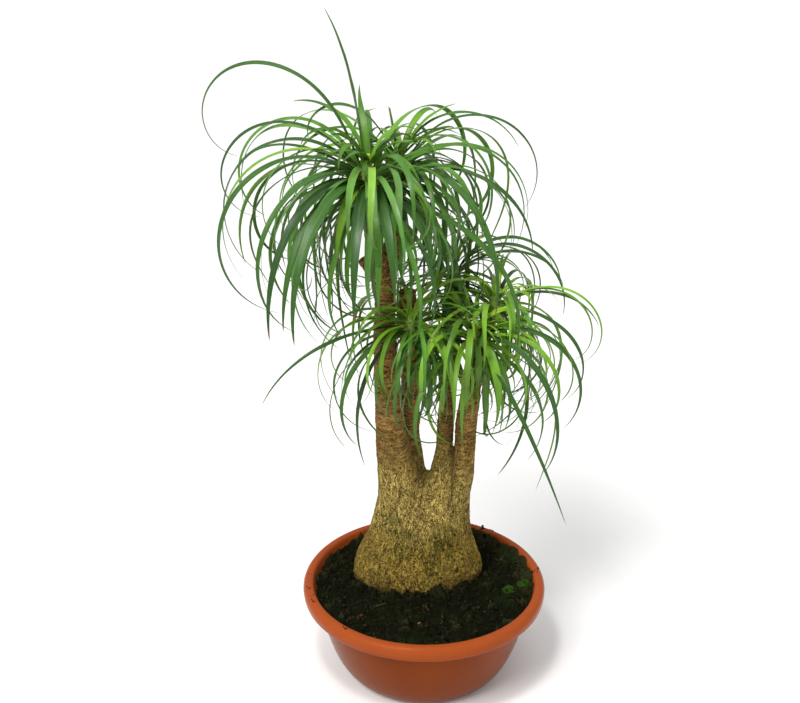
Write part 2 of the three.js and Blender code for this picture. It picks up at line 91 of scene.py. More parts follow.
# How the peat is clotted, and heaped at the foot (x, y, height and reach) and towards the bowl's back right
FOOT_BERM = 9.0
FOOT_HEAPS = [(-59, -59, 17, 8), (23, -61, 25, 15), (-116, -24, 14, 13), (70, -39, 11, 15), (-33, -64, 8, 5)]
EDGE_HEAP = 12.0
SWELL_SIZE = 34.0
CLOD_SIZE = 17.0
CLUMP_SIZE = 7.5
GRIT_SIZE = 4.3
BERM_OUT = 5.0
BERM_REACH = 10.0
EDGE_HEAP_FROM = 0.72
EDGE_HEAP_OVER = 0.28
EDGE_HEAP_ANGLE = 0.85

# Trunk, as in the CAD part: height, middle x and y, half width and half depth of the caudex
CAUDEX = [
    (62, -10, 30, 52, 44),
    (110, -11, 30, 92, 70),
    (160, -13, 30, 114, 86),
    (198, -14, 30, 120, 90),
    (226, -13, 30, 111, 85),
    (256, -10, 30, 97, 77),
    (292, -7, 30, 89, 64),
    (336, -3, 31, 84, 46),
    (364, 0, 31, 76, 32),
    (381, 1, 31, 50, 18),
]
CAUDEX_LOBES = 5
CAUDEX_LOBE_DEPTH = 0.035

# Stems, as in the CAD part: x, y, z and radius along each
STEMS = {
    "left": [(-38, 24, 290, 46), (-43, 21, 355, 42), (-53, 17, 420, 33), (-61, 14, 480, 27.5),
             (-67, 9, 580, 22.5), (-71, 6, 680, 19), (-69, 5, 760, 18), (-70, 5, 780, 15)],
    "leftFork": [(-70, 5, 755, 15), (-82, -2, 800, 15), (-90, -12, 850, 14)],
    "rightFork": [(-68, 6, 760, 15), (-60, 20, 810, 14.5), (-53, 34, 860, 13.5)],
    "leftStub": [(-74, 3, 765, 14), (-97, -1, 795, 12.5), (-107, -2, 808, 11.5)],
    "back": [(-26, 46, 320, 36), (-25, 54, 400, 23.5), (-27, 54, 460, 18), (-25, 48, 560, 18),
             (-28, 36, 640, 17), (-31, 26, 700, 15.5), (-32, 22, 742, 14.5)],
    "backShoot": [(-28, 32, 615, 12), (-27, 8, 640, 12.5)],
    "middle": [(26, 28, 310, 33), (32, 31, 385, 22), (36, 36, 440, 16), (39, 44, 500, 15),
               (43, 62, 590, 14), (47, 80, 660, 13.5)],
    "right": [(46, 28, 290, 30), (61, 19, 365, 26), (70, 14, 440, 20.5), (74, 11, 500, 19),
              (80, 8, 555, 17.5), (86, 5, 600, 15)],
    "rightFrontFork": [(84, 4, 580, 13), (81, -14, 615, 12.5)],
    "rightBackFork": [(86, 6, 585, 14), (92, 12, 625, 13), (101, 22, 660, 12.5)],
    "rightTwig": [(80, 4, 560, 10), (72, -20, 578, 8.5)],
}

# Leaves, as in the CAD part
LEAF_STATIONS = 60
LEAF_STEPS = [(215, 6), (118, 10), (70, 12), (-1, 15)]
LEAF_TRIES = 40
LEAF_ROOT_SHARE = 0.55
LEAF_ROOT_WIDTH = 0.6
LEAF_FULL_FROM = 0.12
LEAF_TAPER_LONG = 0.58
LEAF_TIP_RUN_ON = 1.04
YOUNG_WIDTH = 0.7
YOUNG_AT = 1.16
HEAD_SEEDS = 100000
YOUNG_SEEDS = 50000
RANK_SEEDS = 100
CORE_TAPER = 0.8
CURLING_SHARE = 0.8
FRONT_SHORTER = 0.3
GOLDEN_ANGLE = 137.508
SHOOT_CORE_HEIGHT = 1.4
SHOOT_CORE_FOOT_SHARE = 0.45
SHOOT_CORE_TOP_SHARE = 0.28

HEAD_KEYS = ("name", "stem", "base", "lean", "radius", "height", "leaves", "young", "length", "width", "seed",
             "curl")
HEADS = [dict(zip(HEAD_KEYS, row)) for row in (
    ("left_crown", "leftFork", (-91, -20, 908), (-0.06, -0.1), 16, 60, 42, 8, 440, 17, 101, (105, 180)),
    ("right_crown", "rightFork", (-49, 43, 905), (0.08, 0.08), 15, 58, 36, 7, 422, 15.5, 202, (105, 180)),
    ("front_left_head", "backShoot", (-26, -20, 672), (0, -0.2), 13.5, 34, 27, 6, 352, 13, 303, (120, 200)),
    ("back_head", "middle", (49, 92, 724), (0.05, 0.1), 13.5, 36, 22, 5, 330, 11, 404, (110, 190)),
    ("front_right_head", "rightFrontFork", (79, -29, 655), (0.05, -0.15), 13.5, 34, 29, 6, 362, 14, 505,
     (120, 200)),
    ("right_head", "rightBackFork", (112, 32, 688), (0.33, 0.05), 13.5, 36, 29, 6, 345, 11.5, 606,
     (120, 200)),
    ("side_shoot", "rightTwig", (66, -34, 596), (-0.1, -0.3), 9, 18, 8, 4, 190, 9.5, 707, (100, 160)),
)]

# Single leaves that stand out in the outline, as in the CAD part. A leaf that was cut short has a kept share.
STRAY_KEYS = ("at", "azimuth", "rise", "arch", "late", "drift", "length", "width", "shoot", "keep")
STRAY_LEAVES = {
    "left_crown": [
        (1.2, 180, 82, 22, 2.4, 0, 250, 11, True), (0.9, 178, 70, 248, 1.9, -4, 490, 12),
        (0.84, 188, 54, 232, 1.6, 6, 410, 9), (0.85, 176, 28, 105, 2.3, -6, 240, 8),
        (0.55, 230, 36, 128, 0.6, 4, 330, 17), (0.5, 262, 38, 134, 0.6, 4, 285, 19),
        (0.55, 240, 36, 136, 0.7, -6, 365, 19), (0.6, 226, 38, 136, 0.65, 5, 370, 17),
        (0.55, 284, 34, 122, 0.5, 10, 240, 17), (0.7, 203, 44, 212, 1.1, -8, 500, 13),
        (0.65, 226, 34, 190, 1.1, -14, 450, 11), (0.8, 168, 50, 205, 1.05, 10, 470, 12),
    ],
    "right_crown": [
        (1.1, 200, 60, 178, 2.3, -6, 235, 11, True), (1.15, 200, 81, 10, 1, 0, 380, 12, True, 0.22),
        (0.84, -4, 66, 205, 1.2, 4, 390, 8), (1.15, 6, 72, 138, 0.95, -6, 250, 8, True),
        (0.75, -12, 12, 104, 1.3, 0, 300, 12), (0.6, -48, 36, 140, 0.8, 5, 370, 15),
    ],
    "front_left_head": [
        (0.8, 203, 4, 70, 1.5, -10, 300, 9), (0.75, 214, -8, 132, 1.3, 0, 285, 11),
        (0.5, 205, -10, 100, 0.6, 0, 285, 10),
    ],
    "back_head": [
        (0.85, -4, 36, 112, 1.4, 0, 225, 9), (0.95, -4, 62, 150, 1.1, -20, 250, 9),
        (0.95, -20, 56, 160, 1.1, -10, 290, 9), (0.9, 8, 56, 130, 1.2, -10, 215, 8),
    ],
    "front_right_head": [
        (0.5, -58, -16, 52, 0.6, 30, 352, 9), (0.75, -46, 26, 150, 0.9, 14, 340, 12),
        (0.8, -14, 30, 165, 1.1, -8, 320, 13),
    ],
    "right_head": [
        (0.8, 4, 26, 96, 1.2, 0, 210, 9), (0.75, -20, -3, 146, 1.7, 6, 275, 10),
    ],
    "side_shoot": [
        (0.5, -20, -76, -56, 3.4, 0, 262, 9),
    ],
}

# What this scene adds: more leaves for each one of the CAD part, kept clear of the trunk and inside its box
EXTRA_SHARE = 0.9
EXTRA_SEED = 7
EXTRA_DRIFT = 1.9
EXTRA_CURL = 1.15
EXTRA_CLEAR_OF_TRUNK = 5.0
EXTRA_ROOM = 4.0
EXTRA_RANK_SHIFT = 0.37
EXTRA_NARROWEST = 0.6
STRAY_TWIST = 42.0
STRAY_TONES = (0.0, 0.14)
MATCH_WITHIN = 0.6
MATCH_FROM = 0.3
BLADE_STEP = 2
BLADE_FINE_ARCH = 190
BLADE_CHANNEL_ROOT = 0.42
BLADE_CHANNEL_TIP = 0.16
BLADE_WAVE = 0.07
BLADE_THICK_ROOT = 1.1
BLADE_THICK_TIP = 0.5
BLADE_SIDES = (-1.0, -0.5, 0.0, 0.5, 1.0)
BLADE_UNDER_SIDES = (0.5, 0.0, -0.5)
CUT_END = 2.0

# Trunk finish: two grooves and a notch as x, y and z, and patches as x, y, z and reach; painted shade darkens
# the grooves and the notch
BARK_CELL = 2.4
SEAM = [(1, 10, 386), (-4, -6, 364), (-7, -18, 345), (-11, -26, 330), (-12, -34, 312), (-10, -42, 290)]
CREASE = [(51, 18, 470), (50, 14, 430), (49, 10, 400), (48, 4, 372), (47, -4, 350), (45, -12, 330)]
SEAM_REACH = 2.0
SEAM_DEEP = 2.2
CREASE_REACH = 3.0
CREASE_DEEP = 3.0
NOTCH = [(2, 12, 392), (-8, 22, 408), (-15, 27, 428)]
NOTCH_REACH = 12.0
LUMP_SIZE = 46.0
RIDGE_SIZE = 7.5
KNOB_SIZE = 15.0
WOODY_FROM = 385
WOODY_OVER = 75
SCAR_GAP = 1.45
DAMP_PATCHES = [(34, -48, 264, 25), (20, -52, 246, 18), (54, -40, 258, 17), (28, -46, 290, 15),
                (12, -55, 230, 13), (10, 90, 280, 30), (-85, 60, 240, 24)]
LICHEN_PATCHES = [(-66, -26, 306, 26), (-36, -44, 292, 22), (-46, -44, 262, 20), (58, -24, 304, 16),
                  (60, 80, 250, 30)]
RED_SPOT = (-122, -28, 231, 6)


def mix(a, b, share):
    return a + (b - a) * share


def stream(seed):
    """A seeded stream of numbers from 0 to 1, the same one as in the CAD part."""
    full = 0xFFFFFFFF
    state = seed & full

    def draw():
        nonlocal state
        state = (state + 0x6D2B79F5) & full
        t = state
        t = ((t ^ (t >> 15)) * (t | 1)) & full
        t ^= (t + (((t ^ (t >> 7)) * (t | 61)) & full)) & full
        return (t ^ (t >> 14)) / 4294967296

    return draw


# Meshes

def add_values(mesh, values):
    """Named values at a mesh's points, for its material to read."""
    for label, data in values.items():
        data = np.asarray(data, dtype=np.float32)
        plain = data.ndim == 1
        layer = mesh.attributes.new(label, "FLOAT" if plain else "FLOAT_VECTOR", "POINT")
        layer.data.foreach_set("value" if plain else "vector", data.ravel())


def put_in_scene(name, data):
    made = bpy.data.objects.new(name, data)
    bpy.context.scene.collection.objects.link(made)
    return made


def mesh_piece(name, points, faces, material, sharp=None, values=None):
    """Makes one smooth piece from points in millimetres. Edges past the sharp angle stay sharp."""
    mesh = bpy.data.meshes.new(name)
    mesh.from_pydata([tuple(p) for p in np.asarray(points, dtype=float) * MM], [], faces)
    add_values(mesh, values or {})
    mesh.shade_smooth()
    if sharp is not None:
        mesh.set_sharp_from_angle(angle=math.radians(sharp))
    mesh.materials.append(material)
    return put_in_scene(name, mesh)


def bake_modifiers(piece):
    """Turns what a piece's modifiers make of it into its own mesh."""
    mesh = bpy.data.meshes.new_from_object(piece.evaluated_get(bpy.context.evaluated_depsgraph_get()))
    piece.modifiers.clear()
    piece.data = mesh
    mesh.name = piece.name
    mesh.shade_smooth()
    return mesh


def settle(piece, nodes):
    """Rides a piece on the plant's one body, in place of its CAD nodes."""
    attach(piece, "root")
    if nodes:
        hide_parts(*nodes)


def ring_faces(rings, sides, start=True, end="face"):
    """Faces between equal rings of points. The end is a face, a point that follows the last ring, or open."""
    faces = []
    for r in range(rings - 1):
        for i in range(sides):
            a = r * sides + i
            b = r * sides + (i + 1) % sides
            faces.append((a, b, b + sides, a + sides))
    if start:
        faces.append(tuple(reversed(range(sides))))
    last = (rings - 1) * sides
    if end == "point":
        faces.extend((last + i, last + (i + 1) % sides, last + sides) for i in range(sides))
    elif end == "face":
        faces.append(tuple(last + i for i in range(sides)))
    return faces


def full_turn(sides):
    return np.linspace(0, 2 * math.pi, sides, endpoint=False)


def oval(angles, x, y, z, wide, deep):
    """A level oval ring of points round a middle."""
    level = np.full(len(angles), float(z))
    return np.stack([x + wide * np.cos(angles), y + deep * np.sin(angles), level], axis=1)


def fade(distance, reach):
    """1 at a distance of 0, and fading away past the reach."""
    return np.exp(-(distance / reach) ** 2)


class Heap:
    """Collects many small closed shapes, and the values at their points, for one piece."""

    def __init__(self, *labels):
        self.points = []
        self.faces = []
        self.values = {label: [] for label in labels}
        self.count = 0

    def add(self, points, faces, **values):
        count = len(points)
        self.points.append(np.asarray(points, dtype=float))
        self.faces.extend(tuple(self.count + i for i in face) for face in faces)
        for label, data in values.items():
            data = np.asarray(data, dtype=float)
            each = data if data.shape[:1] == (count,) else np.tile(data, (count, 1))
            self.values[label].append(each.reshape(count, -1))
        self.count += count

    def piece(self, name, material, **options):
        values = {label: np.vstack(data) for label, data in self.values.items()}
        values = {label: data[:, 0] if data.shape[1] == 1 else data for label, data in values.items()}
        return mesh_piece(name, np.vstack(self.points), self.faces, material, values=values, **options)


def node_surface(name):
    """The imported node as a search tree, in millimetres."""
    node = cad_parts[name]
    points = [node.matrix_world @ v.co / MM for v in node.data.vertices]
    return BVHTree.FromPolygons(points, [tuple(p.vertices) for p in node.data.polygons])


# Shader nodes

class Nodes:
    """Makes shader nodes in one tree and links them."""

    def __init__(self, tree):
        self.tree = tree

    def feed(self, socket, value):
        if isinstance(value, bpy.types.NodeSocket):
            self.tree.links.new(value, socket)
        else:
            socket.default_value = value

    def node(self, kind, inputs=None, **settings):
        made = self.tree.nodes.new("ShaderNode" + kind)
        for key, value in settings.items():
            setattr(made, key, value)
        for key, value in (inputs or {}).items():
            self.feed(made.inputs[key], value)
        return made

    def maths(self, operation, a, b=0.0, clamp=False):
        return self.node("Math", {0: a, 1: b}, operation=operation, use_clamp=clamp).outputs[0]

    def times(self, a, b):
        return self.maths("MULTIPLY", a, b)

    def plus(self, a, b, clamp=False):
        return self.maths("ADD", a, b, clamp)

    def between(self, value, low, high, to_low=0.0, to_high=1.0):
        """A value turned from one range to another and held inside it."""
        inputs = {"Value": value, "From Min": low, "From Max": high, "To Min": to_low, "To Max": to_high}
        return self.node("MapRange", inputs, clamp=True).outputs[0]

    def blend(self, share, a, b, how="MIX"):
        a, b = ((*colour, 1.0) if isinstance(colour, tuple) else colour for colour in (a, b))
        return self.node("Mix", {0: share, 6: a, 7: b}, data_type="RGBA", blend_type=how).outputs[2]

    def layers(self, colour, *layers):
        """Lays colours over one another, each by its own share."""
        for share, over in layers:
            colour = self.blend(share, colour, over)
        return colour

    def noise(self, place, scale, detail=3.0, rough=0.55, swirl=0.0):
        inputs = {"Vector": place, "Scale": scale, "Detail": detail, "Roughness": rough, "Distortion": swirl}
        return self.node("TexNoise", inputs).outputs["Fac"]

    def stretched(self, place, scale):
        return self.node("Mapping", {"Vector": place, "Scale": scale}).outputs[0]

    def parts(self, vector):
        return self.node("SeparateXYZ", {0: vector}).outputs

    def value(self, name, output="Fac"):
        """A value that the mesh holds at its points."""
        return self.node("Attribute", attribute_name=name).outputs[output]

    def bump(self, height, strength, distance, under=None):
        inputs = {"Height": height, "Strength": strength, "Distance": distance}
        if under is not None:
            inputs["Normal"] = under
        return self.node("Bump", inputs).outputs["Normal"]


def new_group(name, inputs, outputs):
    """A shader node group with named number inputs, a place to read them at, and named outputs."""
    group = bpy.data.node_groups.new(name, "ShaderNodeTree")
    group.interface.new_socket(name="Place", in_out="INPUT", socket_type="NodeSocketVector")
    for label, value in inputs:
        socket = group.interface.new_socket(name=label, in_out="INPUT", socket_type="NodeSocketFloat")
        socket.default_value = value
    for label in outputs:
        group.interface.new_socket(name=label, in_out="OUTPUT", socket_type="NodeSocketFloat")
    return group, group.nodes.new("NodeGroupInput").outputs, group.nodes.new("NodeGroupOutput").inputs


def make_mottle():
    """Soft patches of lighter and darker tone, with a finer break-up inside them."""
    group, given, out = new_group("mottle", [("Patch scale", 20.0), ("Contrast", 0.5)], ["Patches"])
    f = Nodes(group)
    broad = f.noise(given["Place"], given["Patch scale"], 2.0)
    fine = f.noise(given["Place"], f.times(given["Patch scale"], 5.3))
    both = f.plus(f.times(broad, 0.7), f.times(fine, 0.3))
    away = f.times(f.maths("SUBTRACT", both, 0.5), given["Contrast"])
    f.feed(out["Patches"], f.plus(away, 0.5, clamp=True))
    return group


def make_fine_grain():
    """A fine even grain for a surface's height and for its roughness."""
    inputs = [("Grain scale", 400.0), ("Rough low", 0.4), ("Rough high", 0.6)]
    group, given, out = new_group("fine grain", inputs, ["Height", "Roughness"])
    f = Nodes(group)
    grain = f.noise(given["Place"], given["Grain scale"], 4.0, 0.65)
    f.feed(out["Height"], grain)
    f.feed(out["Roughness"], f.between(grain, 0.3, 0.7, given["Rough low"], given["Rough high"]))
    return group


MOTTLE = make_mottle()
FINE_GRAIN = make_fine_grain()


class Finish(Nodes):
    """One material with its own shader, and the two shared effects placed in it."""

    def __init__(self, name):
        self.material = bpy.data.materials.new(name)
        self.material.use_nodes = True
        super().__init__(self.material.node_tree)
        self.place = self.node("TexCoord").outputs["Object"]

    def shared(self, group, values):
        return self.node("Group", {"Place": self.place, **values}, node_tree=group).outputs

    def patches(self, scale, contrast):
        return self.shared(MOTTLE, {"Patch scale": scale, "Contrast": contrast})["Patches"]

    def grain(self, scale, low, high):
        return self.shared(FINE_GRAIN, {"Grain scale": scale, "Rough low": low, "Rough high": high})

    def done(self, plain, colour, roughness=None, normal=None):
        """Links what changes over the surface, and sets what is plain on the shader's own sockets."""
        shader = self.tree.nodes["Principled BSDF"]
        for label, output in (("Base Color", colour), ("Roughness", roughness), ("Normal", normal)):
            if output is not None:
                self.tree.links.new(output, shader.inputs[label])
        for label, value in plain.items():
            shader.inputs[label].default_value = value
        return self.material


def bowl_plastic():
    """Satin terracotta plastic with dust and fine scuffs; the rim is painted brighter as painted light, and
    the wall is painted darker towards its foot as painted shade.
    """
    f = Finish("bowl_terracotta_plastic")
    height = f.parts(f.place)["Z"]
    streaks = f.noise(f.stretched(f.place, (9.0, 9.0, 2.2)), 1.0)
    colour = f.blend(f.between(streaks, 0.35, 0.68), (0.172, 0.033, 0.0045), (0.212, 0.043, 0.006))
    # Painted shade: the wall turns darker towards its foot.
    colour = f.blend(f.between(height, 0.0, 0.14), (0.160, 0.032, 0.0045), colour)
    dust = f.between(f.noise(f.place, 60.0, 5.0, 0.7), 0.56, 0.74)
    dust = f.times(dust, f.between(height, 0.17, 0.181))
    # Painted light: a brighter terracotta band over the rim; the patches and the dust are the plastic's own.
    colour = f.layers(colour, (f.between(height, 0.146, 0.162), (0.315, 0.062, 0.014)),
                      (f.times(f.patches(14.0, 2.2), 0.22), (0.20, 0.039, 0.006)),
                      (f.times(dust, 0.35), (0.16, 0.10, 0.055)))
    grain = f.grain(900.0, 0.2, 0.32)
    normal = f.bump(grain["Height"], 0.12, 0.0004)
    normal = f.bump(f.noise(f.place, 26.0, 2.0), 0.12, 0.003, normal)
    plain = {"IOR": 1.16, "Specular Tint": (1.0, 0.70, 0.50, 1.0)}
    return f.done(plain, colour, grain["Roughness"], normal)


def peat():
    """Near-black peat with a little green growth and paler fibres; raised clods are painted paler as painted
    light, and some drier crumbs are paler too.
    """
    f = Finish("dark_potting_soil")
    colour = f.blend(f.patches(30.0, 2.5), (0.0025, 0.0028, 0.001), (0.0075, 0.008, 0.003))
    green = f.between(f.noise(f.place, 22.0, 4.0, 0.6), 0.54, 0.68)
    flecks = f.between(f.noise(f.place, 420.0, 3.0, 0.7), 0.66, 0.74)
    # Painted light: the soil is paler where its clods stand high; on loose crumbs the same value is their own
    # drier, paler colour.
    colour = f.layers(colour, (f.value("proud"), (0.021, 0.022, 0.008)),
                      (f.times(green, 0.6), (0.008, 0.017, 0.0035)),
                      (f.times(flecks, 0.55), (0.09, 0.062, 0.032)))
    grain = f.grain(330.0, 0.75, 1.0)
    return f.done({"IOR": 1.12}, colour, grain["Roughness"], f.bump(grain["Height"], 0.8, 0.0016))


def litter():
    """Chips, rootlets and moss: each carries its own colour, broken up by grain."""
    f = Finish("chips_roots_and_moss")
    own = f.value("own_colour", "Color")
    dark = f.blend(1.0, own, (0.45, 0.42, 0.38), "MULTIPLY")
    colour = f.blend(f.patches(160.0, 2.0), dark, own)
    grain = f.grain(500.0, 0.7, 0.95)
    return f.done({"IOR": 1.2}, colour, grain["Roughness"], f.bump(grain["Height"], 0.5, 0.0008))


def bark():
    """Corky bark: short straw-coloured strokes with dark pits between them, browner on the stems, with
    painted shade in its grooves and round its notch, and darker low down by the soil.
    """
    f = Finish("corky_bark")
    height = f.parts(f.place)["Z"]
    flow = f.value("grain", "Vector")
    woody = f.value("woody")
    strokes = f.noise(flow, 270.0, 2.6, 0.68, 1.8)
    pits = f.noise(flow, 95.0, 3.0, 0.65, 1.0)
    rings = f.times(f.noise(f.stretched(f.place, (60.0, 60.0, 330.0)), 1.0, 2.0, 0.6, 0.6), woody)
    cork = f.plus(f.times(strokes, 0.78), f.times(pits, 0.22))
    cork = f.plus(f.times(cork, f.between(woody, 0.0, 1.0, 1.0, 0.55)), f.times(rings, 0.45))
    low = f.between(cork, 0.415, 0.472)
    high = f.between(cork, 0.478, 0.575)

    def corky(pit, middle, straw):
        return f.blend(high, f.blend(low, pit, middle), straw)

    caudex = corky((0.018, 0.010, 0.003), (0.265, 0.182, 0.041), (0.72, 0.545, 0.160))
    foot = corky((0.010, 0.005, 0.0015), (0.155, 0.100, 0.016), (0.440, 0.305, 0.054))
    low_stem = corky((0.040, 0.017, 0.004), (0.180, 0.098, 0.022), (0.37, 0.225, 0.064))
    high_stem = corky((0.070, 0.028, 0.007), (0.300, 0.150, 0.040), (0.56, 0.330, 0.110))
    stem = f.blend(f.between(height, 0.44, 0.60), low_stem, high_stem)
    colour = f.layers(caudex, (f.between(height, 0.325, 0.262), foot), (woody, stem),
                      (f.times(f.patches(17.0, 3.0), 0.42), (0.135, 0.098, 0.034)))
    streaks = f.between(f.noise(flow, 105.0, 4.0, 0.7), 0.36, 0.52)
    lichen = f.between(f.times(f.value("lichen"), streaks), 0.1, 0.6)
    colour = f.blend(lichen, colour, (0.60, 0.68, 0.66), "MULTIPLY")
    damp = f.between(f.times(f.value("damp"), streaks), 0.05, 0.45)
    colour = f.blend(damp, colour, (0.48, 0.56, 0.48), "MULTIPLY")
    # Painted shade: the seam, the crease and the notch are darkened, and so is the bark low down by the soil.
    colour = f.layers(colour, (f.times(f.value("crease_shade_and_dark_foot"), 0.85), (0.038, 0.027, 0.011)),
                      (f.value("rusty"), (0.24, 0.055, 0.02)))
    fine = f.grain(900.0, 0.8, 0.98)
    normal = f.bump(fine["Height"], 0.35, 0.0006)
    normal = f.bump(f.between(cork, 0.36, 0.58), 1.0, 0.0022, normal)
    return f.done({"IOR": 1.15}, colour, fine["Roughness"], normal)


def strap_leaf(name, palette):
    """Strap leaf: parallel veins, a paler keel and foot, its own tone, darker low in its head as painted
    shade, and a darker end with a brown tip.
    """
    f = Finish(name)
    blade, growth = (f.parts(f.value(name, "Vector")) for name in ("blade", "growth"))
    side, along, under = (blade[axis] for axis in "XYZ")
    tone, fresh, half_width = (growth[axis] for axis in "XYZ")
    vein_place = f.node("CombineXYZ", {0: f.times(side, half_width), 1: f.times(along, 6.0),
                                       2: f.times(tone, 40.0)}).outputs[0]
    veins = f.noise(vein_place, 1.7, 2.0, 0.5)
    green = f.blend(f.between(tone, 0.0, 0.4), palette["dark"], palette["mid"])
    green = f.blend(f.between(tone, 0.4, 1.0), green, palette["grey"])
    foot = f.between(along, 0.42, 0.0)
    lime_share = f.times(f.between(fresh, 0.0, 1.0), f.plus(f.times(foot, 0.42), 0.58))
    keel = f.between(f.maths("ABSOLUTE", side), 0.16, 0.0, 0.0, 0.2)
    dry_from = f.between(tone, 0.0, 1.0, 0.93, 0.985)
    dry = f.between(f.maths("SUBTRACT", along, dry_from), 0.0, 0.03)
    pale_foot = f.between(along, 0.05, 0.0, 0.0, 0.7)
    cut_end = f.between(under, 1.5, 1.9)
    colour = f.layers(green, (lime_share, palette["lime"]),
                      (f.between(veins, 0.35, 0.7, 0.0, 0.2), palette["vein"]), (keel, palette["vein"]),
                      (f.times(under, 0.35), palette["under"]),
                      (f.times(f.patches(24.0, 2.4), 0.3), palette["shade"]),
                      (f.between(along, 0.45, 0.95, 0.0, 0.6), palette["shade"]),
                      (dry, (0.10, 0.062, 0.026)), (pale_foot, (0.36, 0.36, 0.14)),
                      (cut_end, (0.30, 0.20, 0.09)))
    grain = f.grain(700.0, 0.28, 0.42)
    normal = f.bump(veins, 0.35, 0.0006)
    normal = f.bump(grain["Height"], 0.08, 0.0004, normal)
    plain = {"IOR": 1.33, "Subsurface Weight": 0.12, "Subsurface Radius": (0.5, 1.0, 0.15),
             "Subsurface Scale": 0.002}
    return f.done(plain, colour, grain["Roughness"], normal)


LEAF_PALETTE = {
    "dark": (0.010, 0.044, 0.010), "mid": (0.090, 0.265, 0.020), "grey": (0.132, 0.268, 0.096),
    "lime": (0.30, 0.56, 0.022), "vein": (0.18, 0.34, 0.08), "under": (0.115, 0.215, 0.060),
    "shade": (0.014, 0.045, 0.008),
}
YOUNG_PALETTE = {
    "dark": (0.020, 0.080, 0.012), "mid": (0.082, 0.235, 0.018), "grey": (0.120, 0.25, 0.060),
    "lime": (0.38, 0.64, 0.026), "vein": (0.22, 0.42, 0.07), "under": (0.15, 0.29, 0.05),
    "shade": (0.03, 0.09, 0.008),
}

# How each head's leaves vary: the darkest and the palest tone, from dark (0) through mid green to grey-green
# (1), how many are still lime, and how lime the young ones are at least
HEAD_TONES = {
    "left_crown": (0.0, 1.0, 0.05, 0.0), "right_crown": (0.0, 0.9, 0.08, 0.15),
    "front_left_head": (0.0, 0.45, 0.3, 0.7), "back_head": (0.0, 0.5, 0.25, 0.7),
    "front_right_head": (0.0, 0.45, 0.72, 0.95), "right_head": (0.0, 0.5, 0.6, 0.95),
    "side_shoot": (0.1, 0.5, 0.8, 0.95),
}

# Leaves in the middle of the left crown that are still fresh in the photo, by their rank in the head
FRESH_RANKS = {"left_crown": (28, 36)}


# Leaves

def head_axis(head):
    return Vector((head["lean"][0], head["lean"][1], 1.0)).normalized()


def draw_leaf(head, rank, share, draw):
    """How one leaf grows. A share of 0 is a head's lowest leaf and 1 its topmost. A young one has none."""
    young = share is None
    curls = draw() < CURLING_SHARE
    rise = mix(38, 78, draw()) if young else mix(-20, 58, share) + 24 * (draw() - 0.5)
    reach = mix(*((0.26, 0.4) if young else (0.68, 1.02) if curls else (0.48, 0.74)), draw())
    azimuth = GOLDEN_ANGLE * rank + 40 * (draw() - 0.5)
    frontal = max(0.0, -math.sin(math.radians(azimuth)))
    if young:
        arch = mix(60, 150, draw())
    else:
        arch = rise + (mix(*head["curl"], draw()) if curls else mix(84, 116, draw()))
    late = mix(0.8, 1.5, draw()) if young or curls else mix(0.45, 0.8, draw())
    drift = (90 if curls else 30) * (draw() - 0.5)
    breadth = YOUNG_WIDTH if young else mix(0.5, 0.85, draw()) if curls else mix(0.75, 1.1, draw())
    length = head["length"] * reach * (1 - FRONT_SHORTER * frontal)
    return {"at": YOUNG_AT if young else mix(0.1, 0.92, share), "azimuth": azimuth, "rise": rise,
            "arch": arch, "late": late, "drift": drift, "length": length, "width": head["width"] * breadth,
            "roll": 130 * (draw() - 0.5), "keep": 1.0}


def bend_stray(stray, draw, turn):
    """A stray leaf keeps its own line, moves a little further aside with each turn and twists to its tip."""
    nudge = min(1, turn / LEAF_TRIES)
    bent = {"keep": 1.0, **dict(zip(STRAY_KEYS, stray))}
    bent["roll"] = STRAY_TWIST * math.cos(math.radians(bent["azimuth"]))
    bent["azimuth"] += 24 * nudge * (draw() - 0.5)
    bent["rise"] += 16 * nudge * (draw() - 0.5)
    bent["at"] += 0.1 * nudge * (draw() - 0.5)
    return bent


def place_leaf(head, grown, stray):
    """Sets a leaf in its head: strays keep their own directions and the others lean with the head."""
    axis = head_axis(head)
    azimuth, rise = math.radians(grown["azimuth"]), math.radians(grown["rise"])
    out = Vector((math.cos(azimuth), math.sin(azimuth), 0.0))
    start = out * math.cos(rise) + Vector((0.0, 0.0, math.sin(rise)))
    if not stray:
        start.rotate(Vector((0.0, 0.0, 1.0)).rotation_difference(axis))
    in_core = SHOOT_CORE_TOP_SHARE if grown["at"] > 1 else LEAF_ROOT_SHARE
    root = Vector(head["base"]) + axis * (head["height"] * grown["at"]) + out * (head["radius"] * in_core)
    turned = {key: math.radians(grown[key]) for key in ("arch", "drift", "roll")}
    return {**grown, **turned, "root": root, "azimuth": math.atan2(start.y, start.x),
            "rise": math.asin(max(-1.0, min(1.0, start.z)))}


def leaf_line(leaf):
    """The leaf's middle line, and the directions across and above it, at each station."""
    s = np.linspace(0.0, 1.0, LEAF_STATIONS + 1)
    pitch = leaf["rise"] - leaf["arch"] * s ** leaf["late"]
    azimuth = leaf["azimuth"] + leaf["drift"] * s * s
    east, north = np.cos(azimuth), np.sin(azimuth)
    along = np.stack([np.cos(pitch) * east, np.cos(pitch) * north, np.sin(pitch)], axis=1)
    level = np.stack([-north, east, np.zeros_like(s)], axis=1)
    upper = np.cross(along, level)
    roll = (leaf["roll"] * s)[:, None]
    across = level * np.cos(roll) + upper * np.sin(roll)
    steps = along * (leaf["length"] / LEAF_STATIONS)
    points = np.array(leaf["root"]) + np.vstack([np.zeros(3), np.cumsum(steps, axis=0)[:-1]])
    return s, points, across, np.cross(along, across)


